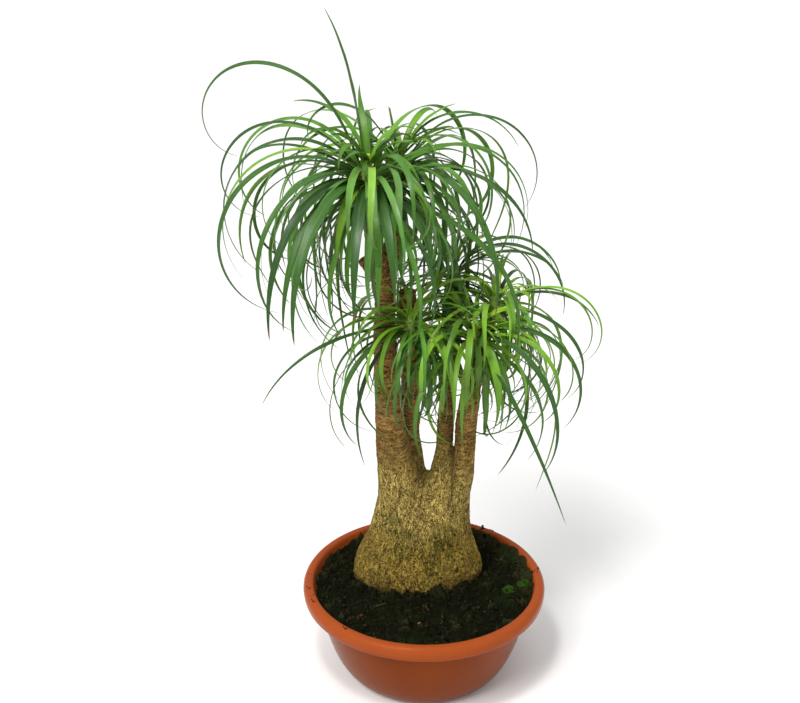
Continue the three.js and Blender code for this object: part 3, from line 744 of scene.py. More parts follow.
def leaf_width(leaf, s):
    """A strap that keeps its width for half its length and then tapers to a thread."""
    foot = mix(LEAF_ROOT_WIDTH, 1.0, np.minimum(1.0, s / LEAF_FULL_FROM))
    return leaf["width"] * foot * np.minimum(1.0, (LEAF_TIP_RUN_ON - s) / LEAF_TAPER_LONG) ** 0.9


def cad_stations(leaf):
    """The stations that the CAD part kept of this leaf."""
    arch = abs(math.degrees(leaf["arch"]))
    wanted = next(step for limit, step in LEAF_STEPS if arch > limit)
    step = math.ceil(wanted * min(1.0, leaf["keep"] ** 2 * 4))
    return [i for i in range(0, LEAF_STATIONS + 1, step) if i / LEAF_STATIONS <= leaf["keep"]]


def lies_on(surface, leaf):
    """Whether the leaf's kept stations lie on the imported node, so that the CAD part grew it just so."""
    _, points, _, _ = leaf_line(leaf)
    stations = [i for i in cad_stations(leaf) if i / LEAF_STATIONS >= MATCH_FROM * leaf["keep"]]
    away = [surface.find_nearest(Vector(points[i]))[3] for i in stations]
    return max(away) < 2 * MATCH_WITHIN and sum(away) / len(away) < MATCH_WITHIN


def leaf_stream(seed, young, rank, turn):
    return stream(seed * HEAD_SEEDS + (YOUNG_SEEDS if young else 0) + rank * RANK_SEEDS + turn)


def grown_leaf(head, rank, young, surface, stray=None):
    """The same leaf as in the CAD part, or nothing where that one was left out."""
    for turn in range(LEAF_TRIES):
        draw = leaf_stream(head["seed"], young, rank, turn)
        share = None if young else rank / (head["leaves"] - 1)
        grown = bend_stray(stray, draw, turn) if stray else draw_leaf(head, rank, share, draw)
        leaf = place_leaf(head, grown, stray)
        if lies_on(surface, leaf):
            return leaf
    return None


def has_room(leaf, trunk):
    """Whether an added leaf stays clear of the trunk and the bowl and inside the CAD part's box."""
    s, points, _, _ = leaf_line(leaf)
    kept = points[s <= leaf["keep"]]
    low = np.array(cad_box[0]) / MM - EXTRA_ROOM
    high = np.array(cad_box[1]) / MM + EXTRA_ROOM
    if (kept < low).any() or (kept > high).any() or kept[:, 2].min() < SOIL_EDGE + SOIL_MOUND:
        return False
    return all(trunk.find_nearest(Vector(p))[3] > EXTRA_CLEAR_OF_TRUNK for p in kept[10::3])


def blade(leaf, draw):
    """A thin channelled strap as a closed shape: wavy margins, a sharp edge and a thread for its tip."""
    s, points, across, upper = leaf_line(leaf)
    whole = leaf["keep"] >= 1
    tip = points[-1:]
    step = 1 if abs(math.degrees(leaf["arch"])) > BLADE_FINE_ARCH or not whole else BLADE_STEP
    keep = list(range(0, int(leaf["keep"] * LEAF_STATIONS) + 1, step))
    if whole:
        keep.remove(LEAF_STATIONS)
    s, points, across, upper = s[keep], points[keep], across[keep], upper[keep]
    half = leaf_width(leaf, s) / 2
    channel = half * mix(BLADE_CHANNEL_ROOT, BLADE_CHANNEL_TIP, np.minimum(1.0, s / 0.4))
    thick = mix(BLADE_THICK_ROOT, BLADE_THICK_TIP, s) * np.minimum(1.0, half / 2.5)
    waves = [BLADE_WAVE * half * np.sin(2 * math.pi * (mix(2.0, 5.0, draw()) * s + draw())) for _ in range(2)]
    rings = []
    marks = []
    for under, sides in ((0.0, BLADE_SIDES), (1.0, BLADE_UNDER_SIDES)):
        for side in sides:
            sink = channel * (1 - side * side) + under * thick * (1 - 0.4 * abs(side))
            wave = waves[0 if side < 0 else 1] * side * side
            rings.append(points + across * (half * side)[:, None] + upper * (wave - sink)[:, None])
            marks.append(np.stack([np.full_like(s, side), s, np.full_like(s, under)], axis=1))
    count = len(rings)
    shape, marks = (np.stack(each, axis=1).reshape(-1, 3) for each in (rings, marks))
    width = np.repeat(half, count)
    if whole:
        shape, marks = np.vstack([shape, tip]), np.vstack([marks, [[0.0, 1.0, 0.0]]])
        width = np.append(width, half[-1])
    else:
        marks[-count:, 2] = CUT_END
    faces = ring_faces(len(keep), count, end="point" if whole else "face")
    return shape, [tuple(reversed(face)) for face in faces], marks, width


def core_shape(head, low, high, low_radius, high_radius, sides=20, rings=10):
    """The core that the leaves of a head grow from, ringed by the feet of old leaves."""
    tilt = Vector((0.0, 0.0, 1.0)).rotation_difference(head_axis(head))
    base = Vector(head["base"])
    shape = []
    for r in range(rings + 1):
        share = r / rings
        for i in range(sides):
            angle = 2 * math.pi * i / sides
            scale = 1 + 0.05 * math.cos(5 * angle + 2.4 * r) - 0.05 * (r % 2)
            radius = mix(low_radius, high_radius, share ** 1.6) * scale
            local = Vector((radius * math.cos(angle), radius * math.sin(angle), mix(low, high, share)))
            local.rotate(tilt)
            shape.append(base + local)
    return shape, ring_faces(rings + 1, sides)


def add_leaf(heap, leaf, draw, tones, freshness):
    shape, faces, marks, width = blade(leaf, draw)
    # The tone is the leaf's own, and painted shade darkens it for leaves low in their head.
    tone = mix(tones[0], tones[1], draw()) * min(1.0, 0.2 + 1.4 * leaf["at"] * mix(0.6, 1.2, draw()))
    growth = np.stack([np.full_like(width, tone), np.full_like(width, freshness), width], axis=1)
    heap.add(shape, faces, blade=marks, growth=growth)


def add_core(heap, shape, faces, freshness):
    heap.add(shape, faces, blade=[0.4, 0.02, 0.0], growth=[0.4, freshness, 6.0])


def extra_leaves(head, young, trunk):
    """Leaves between those of the CAD part, by the same rule with other seeds."""
    count = round(head["young" if young else "leaves"] * EXTRA_SHARE)
    for rank in range(count):
        share = None if young else (rank + 0.5) / count
        for turn in range(LEAF_TRIES):
            draw = leaf_stream(head["seed"] + EXTRA_SEED, young, rank, turn)
            grown = draw_leaf(head, rank + EXTRA_RANK_SHIFT, share, draw)
            grown["width"] *= mix(EXTRA_NARROWEST, 1.0, draw())
            grown["drift"] *= EXTRA_DRIFT
            grown["arch"] *= EXTRA_CURL
            leaf = place_leaf(head, grown, None)
            if has_room(leaf, trunk):
                yield leaf, share
                break


def make_head(head, leaf_material, young_material, trunk):
    """The two pieces of one head: its mature leaves on their core, and the young ones in its middle."""
    name = head["name"]
    grown_on, young_on = node_surface(name + "_leaves"), node_surface(name + "_shoot")
    mature, young = Heap("blade", "growth"), Heap("blade", "growth")
    radius, height = head["radius"], head["height"]
    add_core(mature, *core_shape(head, 0.4, height, radius, radius * CORE_TAPER), 0.5)
    foot, top = radius * SHOOT_CORE_FOOT_SHARE, radius * SHOOT_CORE_TOP_SHARE
    add_core(young, *core_shape(head, height + 0.4, height * SHOOT_CORE_HEIGHT, foot, top, 14, 5), 1.0)
    look = stream(head["seed"] * 31 + 5)
    darkest, palest, limes, young_lime = HEAD_TONES[name]
    tones, young_tones = (darkest, palest), (darkest, 0.5 * palest)

    def age(share):
        """How lime a mature leaf is: some are fresh, most of those near the top, and the others hardly."""
        fresh = look() < limes * mix(0.6, 1.3, share)
        return mix(0.5, 1.0, look()) if fresh else (0.3 * limes + 0.25 * share * share) * look()

    def youth():
        return mix(young_lime, min(1.0, young_lime + 0.3), look())

    for rank, stray in enumerate(STRAY_LEAVES.get(name, [])):
        shoot = dict(zip(STRAY_KEYS, stray)).get("shoot")
        leaf = grown_leaf(head, rank, shoot, young_on if shoot else grown_on, stray)
        if leaf:
            add_leaf(young if shoot else mature, leaf, look, STRAY_TONES, 0.0)
    for rank in range(head["leaves"]):
        leaf = grown_leaf(head, rank, False, grown_on)
        if leaf:
            lime = age(rank / head["leaves"])
            add_leaf(mature, leaf, look, tones, 1.0 if rank in FRESH_RANKS.get(name, ()) else lime)
    for rank in range(head["young"]):
        leaf = grown_leaf(head, rank, True, young_on)
        if leaf:
            add_leaf(young, leaf, look, young_tones, youth())
    for leaf, share in extra_leaves(head, False, trunk):
        add_leaf(mature, leaf, look, tones, age(share))
    for leaf, _ in extra_leaves(head, True, trunk):
        add_leaf(young, leaf, look, young_tones, youth())
    settle(mature.piece(name + "_blades", leaf_material, sharp=55), [name + "_leaves"])
    settle(young.piece(name + "_young_blades", young_material, sharp=55), [name + "_shoot"])


# Trunk

def smooth_line(points, steps):
    """Points along a centripetal curve through the given ones, with the radius that each has there."""
    middles = np.array([p[:3] for p in points], dtype=float)
    radii = np.array([p[3] for p in points], dtype=float)
    ends = np.vstack([2 * middles[0] - middles[1], middles, 2 * middles[-1] - middles[-2]])
    line = []
    for i in range(len(points) - 1):
        p0, p1, p2, p3 = ends[i:i + 4]
        d0, d1, d2 = (max(1e-4, np.linalg.norm(b - a) ** 0.5) for a, b in ((p0, p1), (p1, p2), (p2, p3)))
        t1 = ((p1 - p0) / d0 - (p2 - p0) / (d0 + d1) + (p2 - p1) / d1) * d1
        t2 = ((p2 - p1) / d1 - (p3 - p1) / (d1 + d2) + (p3 - p2) / d2) * d1
        for k in range(steps):
            w = k / steps
            cubic = (p1 + t1 * w + (-3 * p1 + 3 * p2 - 2 * t1 - t2) * w * w
                     + (2 * p1 - 2 * p2 + t1 + t2) * w ** 3)
            line.append((*cubic, mix(radii[i], radii[i + 1], w)))
    line.append((*middles[-1], radii[-1]))
    return np.array(line)


def stem_line(name):
    points = list(STEMS[name])
    head = next((each for each in HEADS if each["stem"] == name), None)
    if head:
        end = Vector(head["base"]) + head_axis(head) * 1.0
        points.append((*end, head["radius"] * 0.98))
    return smooth_line(points, 12)


def tube(line, sides):
    """A closed round tube along a line of middles and radii."""
    middles = line[:, :3]
    along = np.gradient(middles, axis=0)
    along /= np.linalg.norm(along, axis=1)[:, None]
    first = np.cross(np.array([0.0, 1.0, 0.0]), along)
    first /= np.linalg.norm(first, axis=1)[:, None]
    second = np.cross(along, first)
    turn = full_turn(sides)[None, :, None]
    outwards = np.cos(turn) * first[:, None, :] + np.sin(turn) * second[:, None, :]
    shape = middles[:, None, :] + line[:, 3][:, None, None] * outwards
    return shape.reshape(-1, 3), ring_faces(len(line), sides)


def caudex_at(z):
    """Middle x and y, half width and half depth of the caudex at any height."""
    levels = np.array(CAUDEX, dtype=float)
    slopes = np.gradient(levels[:, 1:], levels[:, 0], axis=0)
    z = np.clip(np.asarray(z, dtype=float), levels[0, 0], levels[-1, 0])
    i = np.clip(np.searchsorted(levels[:, 0], z) - 1, 0, len(levels) - 2)
    gap = levels[i + 1, 0] - levels[i, 0]
    w = ((z - levels[i, 0]) / gap)[..., None]
    a, b = levels[i, 1:], levels[i + 1, 1:]
    sa, sb = slopes[i] * gap[..., None], slopes[i + 1] * gap[..., None]
    return a + sa * w + (3 * (b - a) - 2 * sa - sb) * w ** 2 + (2 * (a - b) + sa + sb) * w ** 3


def caudex_shape(sides=96, rings=64):
    heights = np.linspace(CAUDEX[0][0], CAUDEX[-1][0], rings)
    angles = full_turn(sides)
    shape = []
    for z, (x, y, wide, deep) in zip(heights, caudex_at(heights)):
        lobes = CAUDEX_LOBE_DEPTH * min(1.0, max(0.0, (z - 150) / 25))
        swell = 1 + lobes * np.cos(CAUDEX_LOBES * angles + 0.6)
        shape.append(oval(angles, x, y, z, wide * swell, deep * swell))
    return np.vstack(shape), ring_faces(rings, sides)


def near_points(places, points):
    """Distance from each place to the nearest of some points in space."""
    return np.sqrt(((places[:, None, :] - points[None, :, :]) ** 2).sum(axis=2)).min(axis=1)


def bark_flow(places):
    """Positions that follow the grain: upright on the stems, and fanning out with the caudex at its foot."""
    forms = caudex_at(np.minimum(places[:, 2], 300.0))
    return np.stack([(places[:, 0] - forms[:, 0]) / forms[:, 2] * 100,
                     (places[:, 1] - forms[:, 1]) / forms[:, 3] * 80, places[:, 2] * 0.52], axis=1)


def groove(places, points, reach):
    """How deep each place of the trunk's front lies in a groove that runs down through some points."""
    line = smooth_line([(*p, 1.0) for p in points], 8)[:, :3]
    seen = np.array([1.0, 0.0, 1.0])
    return fade(near_points(places * seen, line * seen), reach)


def point_data(mesh, label):
    data = np.empty(len(mesh.vertices) * 3, dtype=np.float32)
    mesh.vertices.foreach_get(label, data)
    return data.reshape(-1, 3)


def make_trunk(material):
    """The trunk as one skin over the caudex and its stems, with lumps, fissures and leaf scars in it."""
    rough = Heap()
    rough.add(*caudex_shape())
    for name in STEMS:
        rough.add(*tube(stem_line(name), 28))
    piece = rough.piece("trunk_bark", material)
    skin = piece.modifiers.new("one skin", "REMESH")
    skin.mode = "VOXEL"
    skin.voxel_size = BARK_CELL * MM
    softer = piece.modifiers.new("soft joins", "SMOOTH")
    softer.factor = 0.6
    softer.iterations = 8
    whole = bake_modifiers(piece)
    places = point_data(whole, "co").astype(float) / MM
    normals = point_data(whole, "normal")
    flow = bark_flow(places)
    low_seam = np.clip((places[:, 2] - 285) / 50, 0, 1) * (places[:, 1] < 15)
    seam_share = groove(places, SEAM, SEAM_REACH) * low_seam
    crease_share = groove(places, CREASE, CREASE_REACH) * (places[:, 1] < 25)
    lumps = np.array([noise.noise(Vector(p) / LUMP_SIZE) for p in places])
    ridges = np.array([noise.fractal(Vector(p) / RIDGE_SIZE, 1.0, 2.1, 3) for p in flow])
    knobs = np.array([noise.noise(Vector(p) / KNOB_SIZE) for p in places])
    woody = np.clip((places[:, 2] - WOODY_FROM) / WOODY_OVER + 0.5 * lumps, 0, 1)
    scars = np.sin(places[:, 2] / SCAR_GAP + 2.5 * lumps + 1.5 * knobs)
    push = (lumps * mix(2.4, 1.0, woody) + ridges * mix(1.25, 0.55, woody) + knobs * mix(0.9, 0.5, woody)
            + woody * 0.28 * scars - SEAM_DEEP * seam_share - CREASE_DEEP * crease_share)
    places += normals * push[:, None]
    whole.vertices.foreach_set("co", (places * MM).astype(np.float32).ravel())
    # Painted shade round the notch, in the seam and in the crease, and a darker band low down by the soil.
    notch = fade(near_points(places, np.array(NOTCH, dtype=float)), NOTCH_REACH)
    buried = np.clip((SOIL_EDGE + SOIL_MOUND + 12 - places[:, 2]) / 14, 0, 1)
    values = {"grain": flow * MM, "woody": woody,
              "crease_shade_and_dark_foot": np.clip(notch + 0.85 * seam_share + 0.75 * crease_share + 0.7 * buried, 0, 1)}
    for label, patches in (("damp", DAMP_PATCHES), ("lichen", LICHEN_PATCHES), ("rusty", [RED_SPOT])):
        gaps = [np.linalg.norm(places - np.array(patch[:3]), axis=1) / patch[3] for patch in patches]
        values[label] = fade(np.min(gaps, axis=0), 1.0)
    values["rusty"] = np.clip(values["rusty"] * 1.6, 0, 1)
    add_values(whole, values)
    whole.materials.clear()
    whole.materials.append(material)
    whole.update()
    settle(piece, ["trunk"])


# Bowl

def wall_radius(height):
    return FOOT_RADIUS + (WALL_RADIUS - FOOT_RADIUS) * (height / WALL_HEIGHT) ** WALL_SWELL


def bowl_profile():
    """Radius and height round the bowl's section, from the middle of its foot out and over the rim."""
    rise = [WALL_HEIGHT * share ** 2.2 for share in np.linspace(0, 1, 26)]
    outer = [(wall_radius(h), h) for h in rise]
    under_rim = [(WALL_RADIUS + 6, 151.4), (WALL_RADIUS + 14, 151.2)]
    band = [(RIM_RADIUS - inset, height) for inset, height in (
        (6.5, 151.6), (3.6, 152.8), (1.6, 155.2), (0.9, 158.0), (0.5, 161.0), (0.1, 164.5), (0.0, 168.0),
        (0.5, 171.2), (1.6, 174.0), (3.4, 176.6), (6.0, 178.7), (9.2, RIM_TOP - 0.2), (12.0, RIM_TOP))]
    inner_top = [(RIM_INNER + out, RIM_TOP - drop)
                 for out, drop in ((5, 0.1), (2.4, 0.9), (0.6, 2.4), (-0.6, 5))]
    inner_top += [(RIM_INNER - RIM_BEVEL + 0.6, WALL_HEIGHT + 16), (RIM_INNER - RIM_BEVEL, WALL_HEIGHT + 12)]
    inner = [(wall_radius(h) - WALL_THICK, h) for h in reversed(rise[9:])]
    floor = [(wall_radius(rise[9]) - WALL_THICK - 3.0, FLOOR_THICK + 3.5),
             (wall_radius(6) - 2 * WALL_THICK, FLOOR_THICK), (DRAIN_CIRCLE, FLOOR_THICK)]
    foot = [(DRAIN_CIRCLE, 0.0), (FOOT_RADIUS - 4, 0.0), (FOOT_RADIUS - 1.2, 0.35)]
    return foot + outer[1:] + under_rim + band + inner_top + inner + floor


def make_bowl(material, sides=160):
    """The bowl as one turned shell, with drain holes through its floor."""
    profile = bowl_profile()
    shape = [oval(full_turn(sides), 0, 0, height, radius, radius) for radius, height in profile]
    shape = np.vstack([*shape, [[0, 0, FLOOR_THICK]], [[0, 0, 0]]])
    rings = len(profile)
    faces = ring_faces(rings, sides, start=False, end=None)
    last = (rings - 1) * sides
    for i in range(sides):
        faces.append((last + i, last + (i + 1) % sides, rings * sides))
        faces.append(((i + 1) % sides, i, rings * sides + 1))
    piece = mesh_piece("bowl_shell", shape, faces, material)
    drills = Heap()
    for i in range(DRAIN_HOLES):
        angle = 2 * math.pi * (i + 0.5) / DRAIN_HOLES
        x, y = DRAIN_CIRCLE * math.cos(angle), DRAIN_CIRCLE * math.sin(angle)
        drills.add(*tube(np.array([(x, y, z, DRAIN_RADIUS) for z in (-4, 4, 12)]), 40))
    drill = drills.piece("drain_drills", material)
    cut = piece.modifiers.new("drain holes", "BOOLEAN")
    cut.operation = "DIFFERENCE"
    cut.solver = "EXACT"
    cut.object = drill
    bored = bake_modifiers(piece)
    bpy.data.objects.remove(drill)
    bored.set_sharp_from_angle(angle=math.radians(40))
    settle(piece, ["bowl"])


# Soil

FOOT_OVAL = tuple(float(v) for v in caudex_at(np.array([184.0]))[0])
HOLE_INSET = 2.0
SOIL_GAP = 0.4
FLARE_FROM = 0.96
FLARE_OVER = 0.04


def soil_level(x, y):
    share = np.minimum(1.0, np.hypot(x, y) / SOIL_RADIUS)
    lumps = np.sin(x / 17) * np.cos(y / 14) + np.sin((x + 2 * y) / 29)
    return SOIL_EDGE + (1 - share * share) * (SOIL_MOUND + SOIL_LUMP * lumps)


def clods(x, y):
    """Clods and crumbs of peat on the soil's level, heaped at the bowl's wall and against the caudex."""
    place = Vector((x, y, 0.0))
    broad = noise.noise(place / SWELL_SIZE)
    shift = Vector((noise.noise(place / 9.0), noise.noise(place / 9.0 + Vector((7, 3, 1))), 0.0))
    large = noise.voronoi(place / CLOD_SIZE + shift * 0.45)[0]
    small = noise.voronoi(place / CLUMP_SIZE + shift * 0.4)[0]
    own_height = 0.35 + noise.cell(Vector(noise.voronoi(place / CLOD_SIZE)[1][0]))
    lumpy = min(1.0, 2.2 * (large[1] - large[0])) * own_height
    crumb = noise.noise(place / GRIT_SIZE) + 1.1 * min(1.0, 2.0 * (small[1] - small[0]))
    x0, y0, wide, deep = FOOT_OVAL
    out = (math.hypot((x - x0) / wide, (y - y0) / deep) - 1) * 0.5 * (wide + deep)
    scallop = 0.15 + 1.5 * noise.noise(place / 22.0) + 0.8 * noise.noise(place / 8.0)
    berm = FOOT_BERM * max(0.0, scallop) * math.exp(-(((out - BERM_OUT) / BERM_REACH) ** 2))
    for heap_x, heap_y, tall, reach in FOOT_HEAPS:
        berm += tall * math.exp(-(((x - heap_x) ** 2 + (y - heap_y) ** 2) / reach ** 2))
    edge = max(0.0, (math.hypot(x, y) / SOIL_RADIUS - EDGE_HEAP_FROM) / EDGE_HEAP_OVER)
    heap = EDGE_HEAP * edge * (0.3 + max(0.0, math.cos(math.atan2(y, x) - EDGE_HEAP_ANGLE)))
    return 3.0 * broad + 9.0 * (lumpy - 0.5) + 2.2 * (crumb - 0.6) + berm + heap


def soil_top(x, y):
    return float(soil_level(x, y)) + clods(x, y)


def make_soil_body(material, around=420, out=110):
    """The soil round the caudex: a clotted top that meets the bowl's wall, and plain sides under it."""
    x0, y0, wide, deep = FOOT_OVAL
    angles = full_turn(around)
    hole = oval(angles, x0, y0, 0, wide - HOLE_INSET, deep - HOLE_INSET)[:, :2]
    wall = oval(angles, 0, 0, 0, SOIL_RADIUS, SOIL_RADIUS)[:, :2]
    rings = [oval(angles, x, y, z, half_wide + SOIL_GAP, half_deep + SOIL_GAP)
             for z, x, y, half_wide, half_deep in CAUDEX[:3]]
    proud = [np.zeros(around) for _ in rings]
    for k in range(out + 1):
        share = k / out
        flat = mix(hole, wall, share)
        level = soil_level(flat[:, 0], flat[:, 1])
        heights = np.array([z + clods(x, y) for (x, y), z in zip(flat, level)])
        if share > FLARE_FROM:
            flare = 0.3 * np.maximum(0, heights - SOIL_EDGE) / SOIL_RADIUS * (share - FLARE_FROM) / FLARE_OVER
            flat = flat * (1 + flare)[:, None]
        rings.append(np.column_stack([flat, np.minimum(heights, RIM_TOP + 1 + SOIL_RADIUS * (1 - share))]))
        # Painted light: clods that stand above the soil's level are painted paler, so the hollows between
        # them stay dark as painted shade.
        proud.append(np.clip((heights - level - 1.0) / 7.0, 0, 1) ** 1.5 * min(1.0, share / 0.22))
    for share in (0.6, 0.3, 0.12, 0.02):
        height = WALL_HEIGHT * share
        radius = wall_radius(height) - WALL_THICK - SOIL_GAP
        rings.append(oval(angles, 0, 0, max(height, FLOOR_THICK + SOIL_GAP), radius, radius))
        proud.append(np.zeros(around))
    piece = mesh_piece("soil_body", np.vstack(rings), ring_faces(len(rings), around), material,
                       values={"proud": np.concatenate(proud)})
    settle(piece, ["soil"])


def stone(draw, x, y, size, lift, flat=0.7):
    """A small uneven lump that lies on the soil."""
    return pebble(draw, (x, y, soil_top(x, y) + lift), size, flat)


def pebble(draw, centre, size, flat=0.7):
    """A small uneven lump."""
    turn = Quaternion((draw() - 0.5, draw() - 0.5, draw() - 0.5, draw() + 0.1)).normalized()
    wide, deep, tall = (size * share * mix(0.6, most, draw())
                        for share, most in ((1, 1.1), (1, 1.1), (flat, 1.0)))
    rings, sides = 4, 6
    points = []
    for r in range(1, rings):
        polar = math.pi * r / rings
        for i in range(sides):
            angle = 2 * math.pi * (i + 0.5 * (r % 2)) / sides
            uneven = mix(0.75, 1.15, draw())
            points.append(Vector((wide * math.sin(polar) * math.cos(angle) * uneven,
                                  deep * math.sin(polar) * math.sin(angle) * uneven,
                                  tall * -math.cos(polar) * uneven)))
    low = len(points) + 1
    shape = [turn @ p + Vector(centre) for p in [*points, Vector((0, 0, tall)), Vector((0, 0, -tall))]]
    faces = ring_faces(rings - 1, sides, start=False, end="point")
    faces.extend(((i + 1) % sides, i, low) for i in range(sides))
    return shape, faces


def soil_spot(draw, inner=1.0):
    """A seeded place on the soil between the caudex and the bowl's wall."""
    x0, y0, wide, deep = FOOT_OVAL
    while True:
        x, y = (draw() - 0.5) * 2 * SOIL_RADIUS, (draw() - 0.5) * 2 * SOIL_RADIUS
        if math.hypot(x, y) <= SOIL_RADIUS - 5 and math.hypot((x - x0) / wide, (y - y0) / deep) >= inner:
            return x, y


def rootlet(draw, place, heading, length, radius, wander):
    """A thin root or fibre that lies on the soil, more or less curved."""
    x, y = place
    line = []
    turn = (draw() - 0.5) * wander
    last = 8
    for k in range(last + 1):
        lift = radius * 0.9 + 1.2 * math.sin(math.pi * k / last)
        line.append((x, y, soil_top(x, y) + lift, radius * mix(1.0, 0.4, k / last)))
        heading += turn + (draw() - 0.5) * wander
        x += math.cos(heading) * length / last
        y += math.sin(heading) * length / last
    return tube(np.array(line), 5)


LOOSE_CRUMBS = 2600
FOOT_CRUMBS = 620


def make_crumbs(material):
    """Loose crumbs of peat on the soil, some of them drier and paler."""
    heap = Heap("proud")
    draw = stream(4711)
    for _ in range(LOOSE_CRUMBS):
        x, y = soil_spot(draw, 0.99)
        size = mix(0.8, 4.6, draw() ** 2.4)
        heap.add(*stone(draw, x, y, size, size * 0.25), proud=1.3 * draw() ** 3)
    x0, y0, wide, deep = FOOT_OVAL
    for _ in range(FOOT_CRUMBS):
        angle = 2 * math.pi * draw()
        reach = mix(1.0, 1.08, draw() ** 1.5)
        x, y = x0 + wide * reach * math.cos(angle), y0 + deep * reach * math.sin(angle)
        size = mix(1.2, 5.0, draw() ** 2)
        heap.add(*stone(draw, x, y, size, size * 0.3), proud=draw() ** 3)
    settle(heap.piece("soil_crumbs", material), [])


# Crumbs on the rim as x, y and size, rootlets as x, y, heading and length, chips as x, y, colour and size,
# and tufts of moss as x, y and reach. Crumbs lie in groups, and a tuft's stalks go by its reach.
RIM_GROUP = 5
FIBRES = 330
BROWN_STONES = 26
MOSS_STALKS = 52
RIM_CRUMBS = [(-213, 6, 2.2), (-212, -34, 2.6), (-206, -62, 2.0), (-201, -78, 2.6), (210, 23, 3.0),
              (-140, -160, 4.2), (150, -150, 1.2), (36, 211, 1.6), (-120, 175, 1.4), (118, 177, 4.0),
              (98, 189, 3.0), (136, 164, 3.2)]
ROOTLETS = [(-90, -85, 0.3, 24), (9, -101, 2.6, 20), (26, -135, 1.0, 26), (120, -80, 1.1, 18),
            (70, 160, 0.5, 24), (-60, 165, 2.2, 20), (150, 60, 2.0, 20)]
CHIPS = [(-11, -144, (0.34, 0.17, 0.08), 4.2), (108, -98, (0.14, 0.10, 0.05), 2.6),
         (-70, 170, (0.12, 0.07, 0.03), 5.0), (120, 120, (0.10, 0.06, 0.03), 4.0)]
CRUMB_COLOUR = (0.026, 0.017, 0.009)
ROOTLET_COLOUR = (0.20, 0.15, 0.075)
BROWN_PATCH = (-126, -116)
BROWN_PATCH_SIZE = (34, 13)
MOSS_TUFTS = [(156, -27, 11.0), (184, -12, 11.0)]


def make_litter_pieces(material):
    """Rim crumbs, rootlets, fine fibres, small brown pebbles, bark chips and tufts of moss."""
    heap = Heap("own_colour")
    draw = stream(99)
    for x, y, size in RIM_CRUMBS:
        for _ in range(RIM_GROUP):
            part = size * mix(0.25, 1.0, draw() ** 2)
            spot = (x + (draw() - 0.5) * 13, y + (draw() - 0.5) * 13, RIM_TOP + part * 0.25)
            heap.add(*pebble(draw, spot, part), own_colour=CRUMB_COLOUR)
    for x, y, heading, length in ROOTLETS:
        heap.add(*rootlet(draw, (x, y), heading, length, 0.5, 0.3), own_colour=ROOTLET_COLOUR)
    for _ in range(FIBRES):
        pale = mix(0.02, 0.10, draw() ** 1.6)
        place, heading, length = soil_spot(draw, 1.02), 6.3 * draw(), mix(5, 20, draw())
        fibre = rootlet(draw, place, heading, length, mix(0.2, 0.36, draw()), 0.22)
        heap.add(*fibre, own_colour=(pale, pale * 0.86, pale * 0.42))
    for _ in range(BROWN_STONES):
        x, y = (middle + (draw() - 0.5) * wide for middle, wide in zip(BROWN_PATCH, BROWN_PATCH_SIZE))
        brown = mix(0.03, 0.11, draw())
        lump = stone(draw, x, y, mix(1.2, 3.4, draw()), 0.4, 0.4)
        heap.add(*lump, own_colour=(brown, brown * 0.5, brown * 0.18))
    for x, y, colour, size in CHIPS:
        heap.add(*stone(draw, x, y, size, size * 0.15, 0.35), own_colour=colour)
    settle(heap.piece("rootlets_and_chips", material, sharp=40), [])
    moss = Heap("own_colour")
    for x0, y0, reach in MOSS_TUFTS:
        for _ in range(int(MOSS_STALKS * reach)):
            angle, away = 6.3 * draw(), reach * draw()
            x, y = x0 + away * math.cos(angle), y0 + away * math.sin(angle)
            z = soil_top(x, y) - 0.6
            tall = mix(2.2, 5.0, draw()) * (1.2 - away / reach * 0.5)
            tip_x, tip_y = x + (draw() - 0.5) * 3.4, y + (draw() - 0.5) * 3.4
            line = np.array([(x, y, z, 0.42), (mix(x, tip_x, 0.4), mix(y, tip_y, 0.4), z + tall * 0.6, 0.36),
                             (tip_x, tip_y, z + tall, 0.12)])
            moss.add(*tube(line, 5), own_colour=(mix(0.02, 0.08, draw()), mix(0.07, 0.20, draw()), 0.012))
    settle(moss.piece("moss_tufts", material), [])


# Studio

FLOOR_REACH = 30000.0
FLOOR_DROP = -0.6


def make_floor():
    f = Finish("studio_floor")
    colour = f.blend(f.noise(f.place, 0.8, 2.0), (0.86, 0.86, 0.86), (0.90, 0.90, 0.90))
    corners = [(x * FLOOR_REACH, y * FLOOR_REACH, FLOOR_DROP)
               for x, y in ((-1, -1), (1, -1), (1, 1), (-1, 1))]
    floor = mesh_piece("studio_floor", corners, [(0, 1, 2, 3)], f.done({"Roughness": 0.9}, colour))


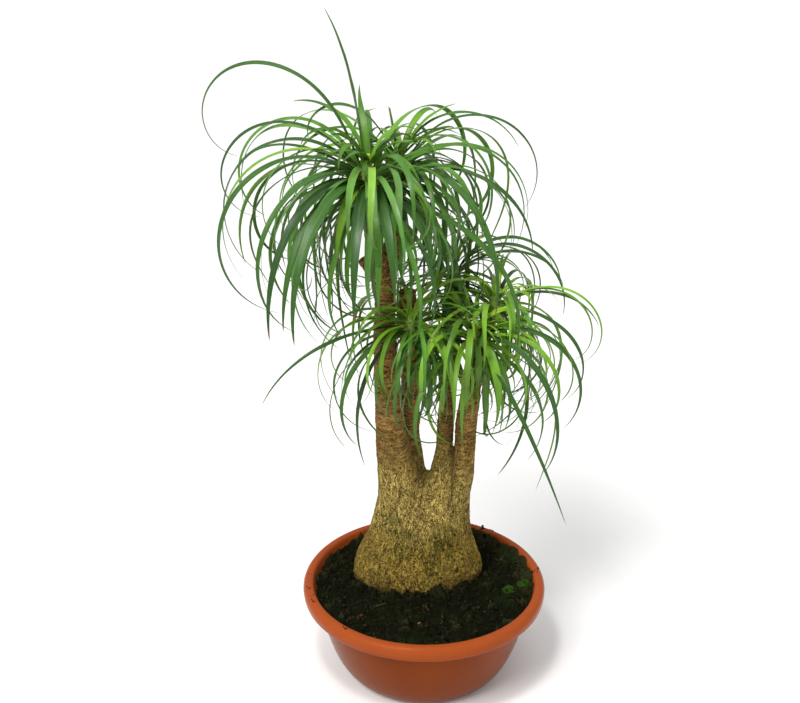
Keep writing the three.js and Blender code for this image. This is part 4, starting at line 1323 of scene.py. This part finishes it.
def add_light(name, kind, towards, strength, place=(0.0, 0.0, 0.0), **settings):
    lamp = bpy.data.lights.new(name, kind)
    lamp.energy = strength
    for key, value in settings.items():
        setattr(lamp, key, value)
    holder = put_in_scene(name, lamp)
    holder.location = place
    holder.rotation_euler = Vector(towards).to_track_quat("-Z", "Y").to_euler()


def make_studio():
    """Two wide soft suns for plant and floor alike, a highlight on the rim and a weak fill."""
    warm = (1.0, 0.985, 0.955)
    add_light("key_light", "SUN", (0.55, 0.62, -0.95), 2.07, angle=math.radians(28), color=warm)
    add_light("top_light", "SUN", (-0.1, -0.25, -1.0), 0.55, angle=math.radians(60))
    for name, place, aim, width, power in (
            ("rim_highlight", (-0.45, -1.15, 2.7), (0.0, -0.2, 0.2), 0.32, 27.0),
            ("fill_light", (2.6, -1.8, 1.6), (0.0, 0.0, 0.5), 2.0, 12.0)):
        add_light(name, "AREA", Vector(aim) - Vector(place), power, place, shape="SQUARE", size=width)
    world = bpy.data.worlds.new("studio")
    bpy.context.scene.world = world
    world.use_nodes = True
    backdrop = world.node_tree.nodes["Background"]
    backdrop.inputs["Color"].default_value = (1.0, 1.0, 1.0, 1.0)
    backdrop.inputs["Strength"].default_value = 0.55
    bpy.context.scene.view_settings.view_transform = "Standard"
    bpy.context.scene.view_settings.look = "None"


def make_camera():
    lens = bpy.data.cameras.new("photo_camera")
    lens.sensor_fit = "HORIZONTAL"
    lens.sensor_width = SENSOR_WIDTH
    lens.lens = FOCAL_PIXELS * SENSOR_WIDTH / IMAGE_WIDTH_PIXELS
    lens.clip_end = 50.0
    camera = put_in_scene("photo_camera", lens)
    camera.location = [c * MM for c in CAMERA_PLACE]
    camera.rotation_euler = (math.radians(90 - CAMERA_PITCH_DOWN), 0.0, 0.0)
    bpy.context.scene.camera = camera


make_camera()
make_studio()
make_floor()
make_bowl(bowl_plastic())
soil_material = peat()
make_soil_body(soil_material)
make_crumbs(soil_material)
make_litter_pieces(litter())
make_trunk(bark())
leaf_material = strap_leaf("mature_leaf", LEAF_PALETTE)
young_material = strap_leaf("young_leaf", YOUNG_PALETTE)
trunk_surface = node_surface("trunk")
for each_head in HEADS:
    make_head(each_head, leaf_material, young_material, trunk_surface)
